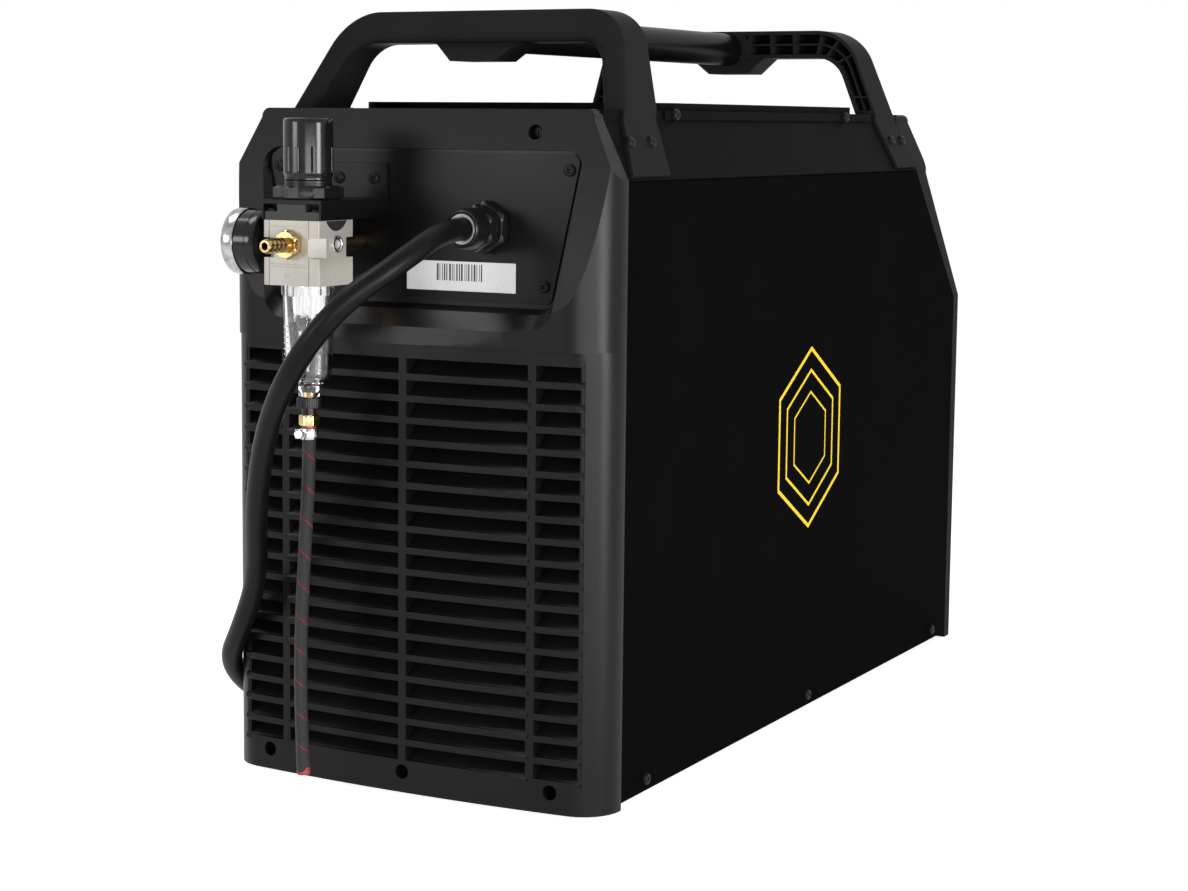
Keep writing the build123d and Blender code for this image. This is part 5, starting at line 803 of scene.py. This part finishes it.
# Front: display, dial and buttons on the slanted panel
PANEL_WAY = (0, 0.7646, 0.6445)  # way the slanted panel faces
panel_at = spot((0, 311.5, 341), PANEL_WAY, (-1, 0, 0)) @ Matrix.Translation((0, 0, 1.5))
bm = bmesh.new()
prism(bm, panel_at, box_outline(92, 34, 3, centre=(-20, 24)), 0, 1.2)
make_piece("window_glass", bm, gloss, replaces=["display_window"], bevel=0.4)
SEGMENTS = {"4": "bcfg", "0": "abcdef"}
STROKES = {
    "a": (0, 10, 1), "g": (0, 0, 1), "d": (0, -10, 1),
    "f": (-5, 5, 0), "b": (5, 5, 0), "e": (-5, -5, 0), "c": (5, -5, 0),
}
bm = bmesh.new()
for digit, x in (("4", -27), ("0", -9)):
    for key in SEGMENTS[digit]:
        dx, dy, flat = STROKES[key]
        size = (7.6, 1.9) if flat else (1.9, 7.6)
        middle = (x + dx + dy * 0.08, 24 + dy)
        prism(bm, panel_at, box_outline(*size, 0.8, centre=middle), 1.2, 1.25)
led_line = [(0, -0.5), (2.2, -0.5), (2.2, 0.3), (1.7, 1), (0, 1.4)]
for y in (32, 22, 12):
    lathe(bm, panel_at @ Matrix.Translation((-86, y, 0)), led_line, 24)
make_piece("display_figures", bm, led_red)
dial_at = panel_at @ Matrix.Translation((62, -8, 0))
bm = bmesh.new()
for step in range(21):
    angle = dial_angle(step, 20)
    long = step % 5 == 0
    size = (3.6, 0.8) if long else (2.2, 0.45)
    mark = box_outline(*size, centre=(20.4 + size[0] / 2, 0))
    prism(bm, dial_at @ Matrix.Rotation(angle, 4, "Z"), mark, 0.01, 0.08)
    if long:
        figure = dial_at @ Matrix.Translation((28.6 * cos(angle), 28.6 * sin(angle), 0.02))
        lettering(bm, str(20 + 2 * step), figure, 5.4)
for x, y, width, height in ((-20, 24, 96, 38), (-20, -20, 72, 26)):
    outer = box_outline(width, height, 4, (x, y))
    hoop(bm, panel_at, outer, box_outline(width - 1.2, height - 1.2, 3.4, (x, y)), 0.01, 0.08)
make_piece("panel_print", bm, print_grey)
grip_line = [(0, 0.4), (17, 0.4), (17, 2.2), (16.6, 2.8), (16.4, 3.2, 0.7), (15.6, 13.6, 0.7)]
grip_line += [(15.2, 14.6), (14.2, 15.8), (12.8, 16.4), (11.5, 16.2), (10.6, 15.7), (0, 15.6)]
bm = bmesh.new()
lathe(bm, dial_at, grip_line, 150, wave=ripple(30))
lathe(bm, dial_at, [(0, -14), (3, -14), (3, 0.5), (0, 0.5)], 32)
make_piece("encoder_grip", bm, handle, "encoder", ["encoder_knob"])
bm = bmesh.new()
prism(bm, dial_at, box_outline(1.4, 7, 0.6, centre=(0, 7.4)), 15.5, 15.95)
make_piece("encoder_mark", bm, print_grey, "encoder")
button_line = [(0, -6.4), (7.6, -6.4), (7.6, -4.8), (6, -4.8), (6, 1.6), (5.7, 2.2), (5, 2.5)]
button_line += [(3.5, 2.3), (0, 2.1)]
for x, node, body in ((-40, "button_left", "left_button"), (0, "button_right", "right_button")):
    button_at = panel_at @ Matrix.Translation((x, -20, 0))
    bm = bmesh.new()
    lathe(bm, button_at, button_line, 48)
    make_piece(node + "_cap", bm, red, body, [node])

# Front: rotary switch marks, torch and work sockets
face_at = spot((0, FACE_Y, 0), (0, 1, 0), (-1, 0, 0))
bm = bmesh.new()
lettering(bm, "0", face_at @ Matrix.Translation((-78, 263.2, 1.45)), 6)
lettering(bm, "1", face_at @ Matrix.Translation((-53, 238, 1.45)), 6)
make_piece("switch_figures", bm, print_grey)
bm = bmesh.new()
prism(bm, face_at, box_outline(1.6, 16, 0.7, centre=(-78, 250)), 17.8, 18.0)
make_piece("switch_mark", bm, print_grey, "switch")
SOCKETS = (("torch_socket", 62, 24, 20, 24, 11), ("work_socket", -58, 20, 16, 15, 6.5))
for node, x, flange, collar, proud, bore in SOCKETS:
    socket_at = face_at @ Matrix.Translation((x, 120, 0))
    root = collar - 0.6
    line = [(bore, proud - 0.6), (bore, -20), (0, -20), (0, -34), (collar, -34), (collar, 0)]
    line += [(flange, 0), (flange, 2.2), (flange - 0.8, 3), (collar + 0.4, 3), (root, 3.6)]
    for step in range(int((proud - 6) / 2.4)):
        start = 4.4 + 2.4 * step
        line += [(root, start), (collar, start + 0.7), (collar, start + 1.1), (root, start + 1.8)]
    line += [(root, proud - 0.8), (collar - 1.4, proud), (bore + 0.6, proud)]
    bm = bmesh.new()
    lathe(bm, socket_at, line, 72)
    make_piece(node + "_body", bm, nylon, replaces=[node])
    bm = bmesh.new()
    sleeve = [(bore - 0.05, -19.9), (bore - 0.05, 2), (bore - 1.1, 1), (bore - 1.1, -19.9)]
    lathe(bm, socket_at, sleeve, 48, closed=True)
    make_piece(node + "_sleeve", bm, brass)

# Mains plug: ribbed grip, sleeve with a keyway, boot; tie round the coil
CABLE_D, LEAD_X, PLUG_Y, PLUG_Z = 14.0, -188, 200.5, 31.0
COIL_X, COIL_Y, COIL_R, COIL_PITCH, LAYER_TURNS = -278.0, 100.5, 90.0, 14.8, 1.75
plug_at = spot((LEAD_X, PLUG_Y, PLUG_Z), (0, 1, 0))
bm = bmesh.new()
boot = [(7.1, 0), (9.6, 0), (10.2, 1)]
for step in range(5):
    rib, groove, start = 10.6 + 0.5 * step, 9.9 + 0.5 * step, 3.6 * step
    boot += [(rib, 2 + start), (rib, 4 + start), (groove, 4.4 + start), (groove, 5.2 + start)]
grip = [(15.4, 22.4), (22, 28), (24.4, 30.4, 1.2), (25, 33, 1.2), (25, 64, 1.2), (25, 67)]
grip += [(24.2, 68), (24.2, 70), (25, 71)]
shell = [(25, 74), (29.4, 75.2), (31, 77), (31, 90), (30.4, 90.6), (30.4, 92.4), (31, 93)]
shell += [(31, 130.6), (30.4, 132), (28, 132), (27.5, 131.4), (27.5, 84.5), (7.1, 84.5)]
lathe(bm, plug_at, boot + grip + shell, 120, closed=True, wave=ripple(20))
prism(bm, plug_at, box_outline(6, 3.4, 1, centre=(0, -30.9)), 96, 131)
plug_shell = make_piece("plug_shell", bm, red, replaces=["mains_plug"])
tie_at = spot((COIL_X - 75.2, COIL_Y, 15.4), (0, 1, 0), (1, 0, 0))
bm = bmesh.new()
hoop(bm, tie_at, box_outline(30.6, 29.2, 9, steps=8), box_outline(32, 30.6, 9.7, steps=8), -7, 7)
prism(bm, tie_at, box_outline(14, 1.6, 0.5, centre=(3, -15.6)), -7.6, 7.6)
coil_tie = make_piece("coil_tie", bm, rubber, bevel=0.3)


# Cords, first their routes in millimetres
def spline_curve(name, points, radius=0.0):
    """Smooth curve with the points as control points, in metres; a tube if it has a radius."""
    curve = bpy.data.curves.new(name, "CURVE")
    curve.dimensions = "3D"
    curve.resolution_u = 8
    line = curve.splines.new("NURBS")
    line.points.add(len(points) - 1)
    for control, place in zip(line.points, points):
        control.co = (*(Vector(place) * MM), 1)
    line.order_u = 3
    line.use_endpoint_u = True
    if radius:
        curve.bevel_depth = radius * MM
        curve.bevel_resolution = 8
        curve.use_fill_caps = True
    return bpy.data.objects.new(name, curve)


LEAD_ROUTE = [
    (50, -303.5, 363), (50, -330, 363), (48.5, -369, 348), (26, -399, 325), (-4, -406, 290),
    (-42, -383, 245), (-73, -351.5, 190), (-97.5, -315, 134), (-120, -301, 98), (-147.5, -281, 66),
    (-149.5, -236, 34), (-152, -180, 7), (-162, -124, 7), (-179, -61.5, 7), (-184, -9.5, 7),
    (LEAD_X, 38.5, 7), (LEAD_X, 72, 7),
]


def gentle(share):
    """Step from 0 to 1 that starts and ends level."""
    return 3 * share**2 - 2 * share**3


def coil_point(turn):
    """Point of the put-away coil after a number of turns: in, a climb, then out one layer up."""
    radius, height = COIL_R - COIL_PITCH * turn, CABLE_D / 2
    if turn > LAYER_TURNS + 0.5:
        past = turn - LAYER_TURNS - 0.5
        radius = COIL_R - COIL_PITCH * (LAYER_TURNS - past)
        rise = gentle(max(0.0, past - LAYER_TURNS + 0.5) * 2) * (PLUG_Z - height - COIL_PITCH)
        height += COIL_PITCH + rise
    elif turn > LAYER_TURNS:
        past = turn - LAYER_TURNS
        radius = COIL_R - COIL_PITCH * LAYER_TURNS - COIL_PITCH * (past - 2 * past**2)
        height += COIL_PITCH * gentle(2 * past)
    angle = 2 * pi * turn
    return (COIL_X + radius * cos(angle), COIL_Y + radius * sin(angle), height)


coil_route = [coil_point(step / 24) for step in range(97)]
tail_route = [(LEAD_X, y, PLUG_Z) for y in (118, 150, PLUG_Y)]
mains_lead = spline_curve("mains_lead", LEAD_ROUTE + coil_route + tail_route, CABLE_D / 2)
scene.collection.objects.link(mains_lead)
mains_lead.data.materials.append(rubber)
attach(mains_lead, "casing")
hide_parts("mains_cable", "mains_coil")

HOSE_D = 8.4
HOSE_ROUTE = [
    (FILTER_X, FILTER_Y, 238.7), (FILTER_X, FILTER_Y, 207.7), (-48.5, -333, 159.9),
    (-51.5, -333, 109.8), (-53.5, -331, 59.7), (-53, -328.5, 14.3),
]


def line_points(points):
    """Points along a route's smooth curve, in metres."""
    guide = spline_curve("guide", points)
    mesh = bpy.data.meshes.new_from_object(guide)
    found = [vertex.co.copy() for vertex in mesh.vertices]
    bpy.data.meshes.remove(mesh)
    bpy.data.curves.remove(guide.data)
    return found


def hose_tube(bm, line, radius, wall, steps=32):
    """Hollow tube along points in metres; its UV runs round it, and along it in girths."""
    points = [point * 1000 for point in line]
    side = Vector((1, 0, 0))
    runs, skins = [0.0], ([], [])
    for i, point in enumerate(points):
        ahead = (points[min(i + 1, len(points) - 1)] - points[max(i - 1, 0)]).normalized()
        side = (side - ahead * ahead.dot(side)).normalized()
        turn = Matrix((side, ahead.cross(side), ahead)).transposed().to_4x4()
        at = Matrix.Translation(point) @ turn
        for skin, reach in zip(skins, (radius, radius - wall)):
            skin.append(ring(bm, at, circle(reach, steps), 0))
        if i:
            runs.append(runs[-1] + (point - points[i - 1]).length)
    layer = bm.loops.layers.uv.verify()
    for skin in skins:
        for i, (low, high) in enumerate(zip(skin, skin[1:])):
            for k in range(steps):
                corners = (low[k], low[k - steps + 1], high[k - steps + 1], high[k])
                face = bm.faces.new(corners)
                places = ((k, i), (k + 1, i), (k + 1, i + 1), (k, i + 1))
                for loop, (u, run) in zip(face.loops, places):
                    loop[layer].uv = (u / steps, runs[run] / (2 * pi * radius))
    for end in (0, -1):
        band(bm, skins[0][end], skins[1][end])


hose_line = line_points(HOSE_ROUTE)
bm = bmesh.new()
hose_tube(bm, hose_line, HOSE_D / 2, 1.4)
drain_hose = make_piece("drain_hose_braid", bm, braid, replaces=["drain_hose"])
bm = bmesh.new()
for end, up_way in ((0, 1), (-1, -1)):
    at = Matrix.Translation(hose_line[end] * 1000)
    cuff = [(2.85, 0), (4.28, 0), (4.3, -up_way * 0.6), (4.3, -up_way * 4.6), (2.85, -up_way * 4.6)]
    lathe(bm, at, cuff, 32, closed=True)
make_piece("hose_ends", bm, hose_red)

# Floor, world and lamps
FLOOR_GLOW, WORLD_LIGHT = 0.8, 0.28


def seen_rays(tree):
    """1 for camera, glossy and transmission rays."""
    rays = add_node(tree, "ShaderNodeLightPath")
    total = rays.outputs["Is Camera Ray"]
    for kind in ("Is Glossy Ray", "Is Transmission Ray"):
        inputs = {0: total, 1: rays.outputs[kind]}
        total = add_node(tree, "ShaderNodeMath", inputs, operation="MAXIMUM").outputs[0]
    return total


floor_mesh = bpy.data.meshes.new("floor")
floor_mesh.from_pydata([(-6, -6, 0), (6, -6, 0), (6, 6, 0), (-6, 6, 0)], [], [(0, 1, 2, 3)])
floor = bpy.data.objects.new("floor", floor_mesh)
scene.collection.objects.link(floor)
floor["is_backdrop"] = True
floor_values = {"Base Color": grey(0.82), "Roughness": 0.9, **sheen(0.0)}
floor_material, tree, shader = new_material("floor_pale", floor_values)
glow = add_node(tree, "ShaderNodeEmission", {"Color": grey(1.0), "Strength": FLOOR_GLOW})
none = add_node(tree, "ShaderNodeEmission", {"Color": grey(0.0), "Strength": 0.0})
choice = {0: seen_rays(tree), 1: none.outputs[0], 2: glow.outputs[0]}
lift = add_node(tree, "ShaderNodeMixShader", choice)
total = add_node(tree, "ShaderNodeAddShader", {0: shader.outputs[0], 1: lift.outputs[0]})
tree.links.new(total.outputs[0], tree.nodes["Material Output"].inputs["Surface"])
floor_mesh.materials.append(floor_material)

world = bpy.data.worlds.new("world")
scene.world = world
world.use_nodes = True
tree = world.node_tree
levels = {"Value": seen_rays(tree), "To Min": WORLD_LIGHT, "To Max": 1.0}
strength = add_node(tree, "ShaderNodeMapRange", levels)
backdrop = tree.nodes["Background"]
backdrop.inputs["Color"].default_value = grey(1.0)
tree.links.new(strength.outputs["Result"], backdrop.inputs["Strength"])


def lamp(name, place, target, size, power):
    """Soft box aimed at a point."""
    data = bpy.data.lights.new(name, "AREA")
    data.shape = "RECTANGLE"
    data.size, data.size_y = size
    data.energy = power
    made = bpy.data.objects.new(name, data)
    made.location = place
    made.rotation_euler = (Vector(target) - Vector(place)).to_track_quat("-Z", "Y").to_euler()
    scene.collection.objects.link(made)


lamp("left", (-0.85, -1.75, 0.56), (0, -0.3, 0.36), (0.6, 0.4), 10)
lamp("rear", (1.62, -2.05, 0.2), (0.12, -0.3, 0.26), (2.0, 0.36), 38)
lamp("right", (1.68, -0.56, 0.36), (0.13, -0.28, 0.3), (0.5, 0.68), 26)
lamp("top", (-0.8, -0.6, 2.05), (0, -0.2, 0.45), (0.8, 0.7), 16)

size = {"cad": [list(map(float, corner)) for corner in cad_box], "visual": [list(map(float, corner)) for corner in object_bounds()]}
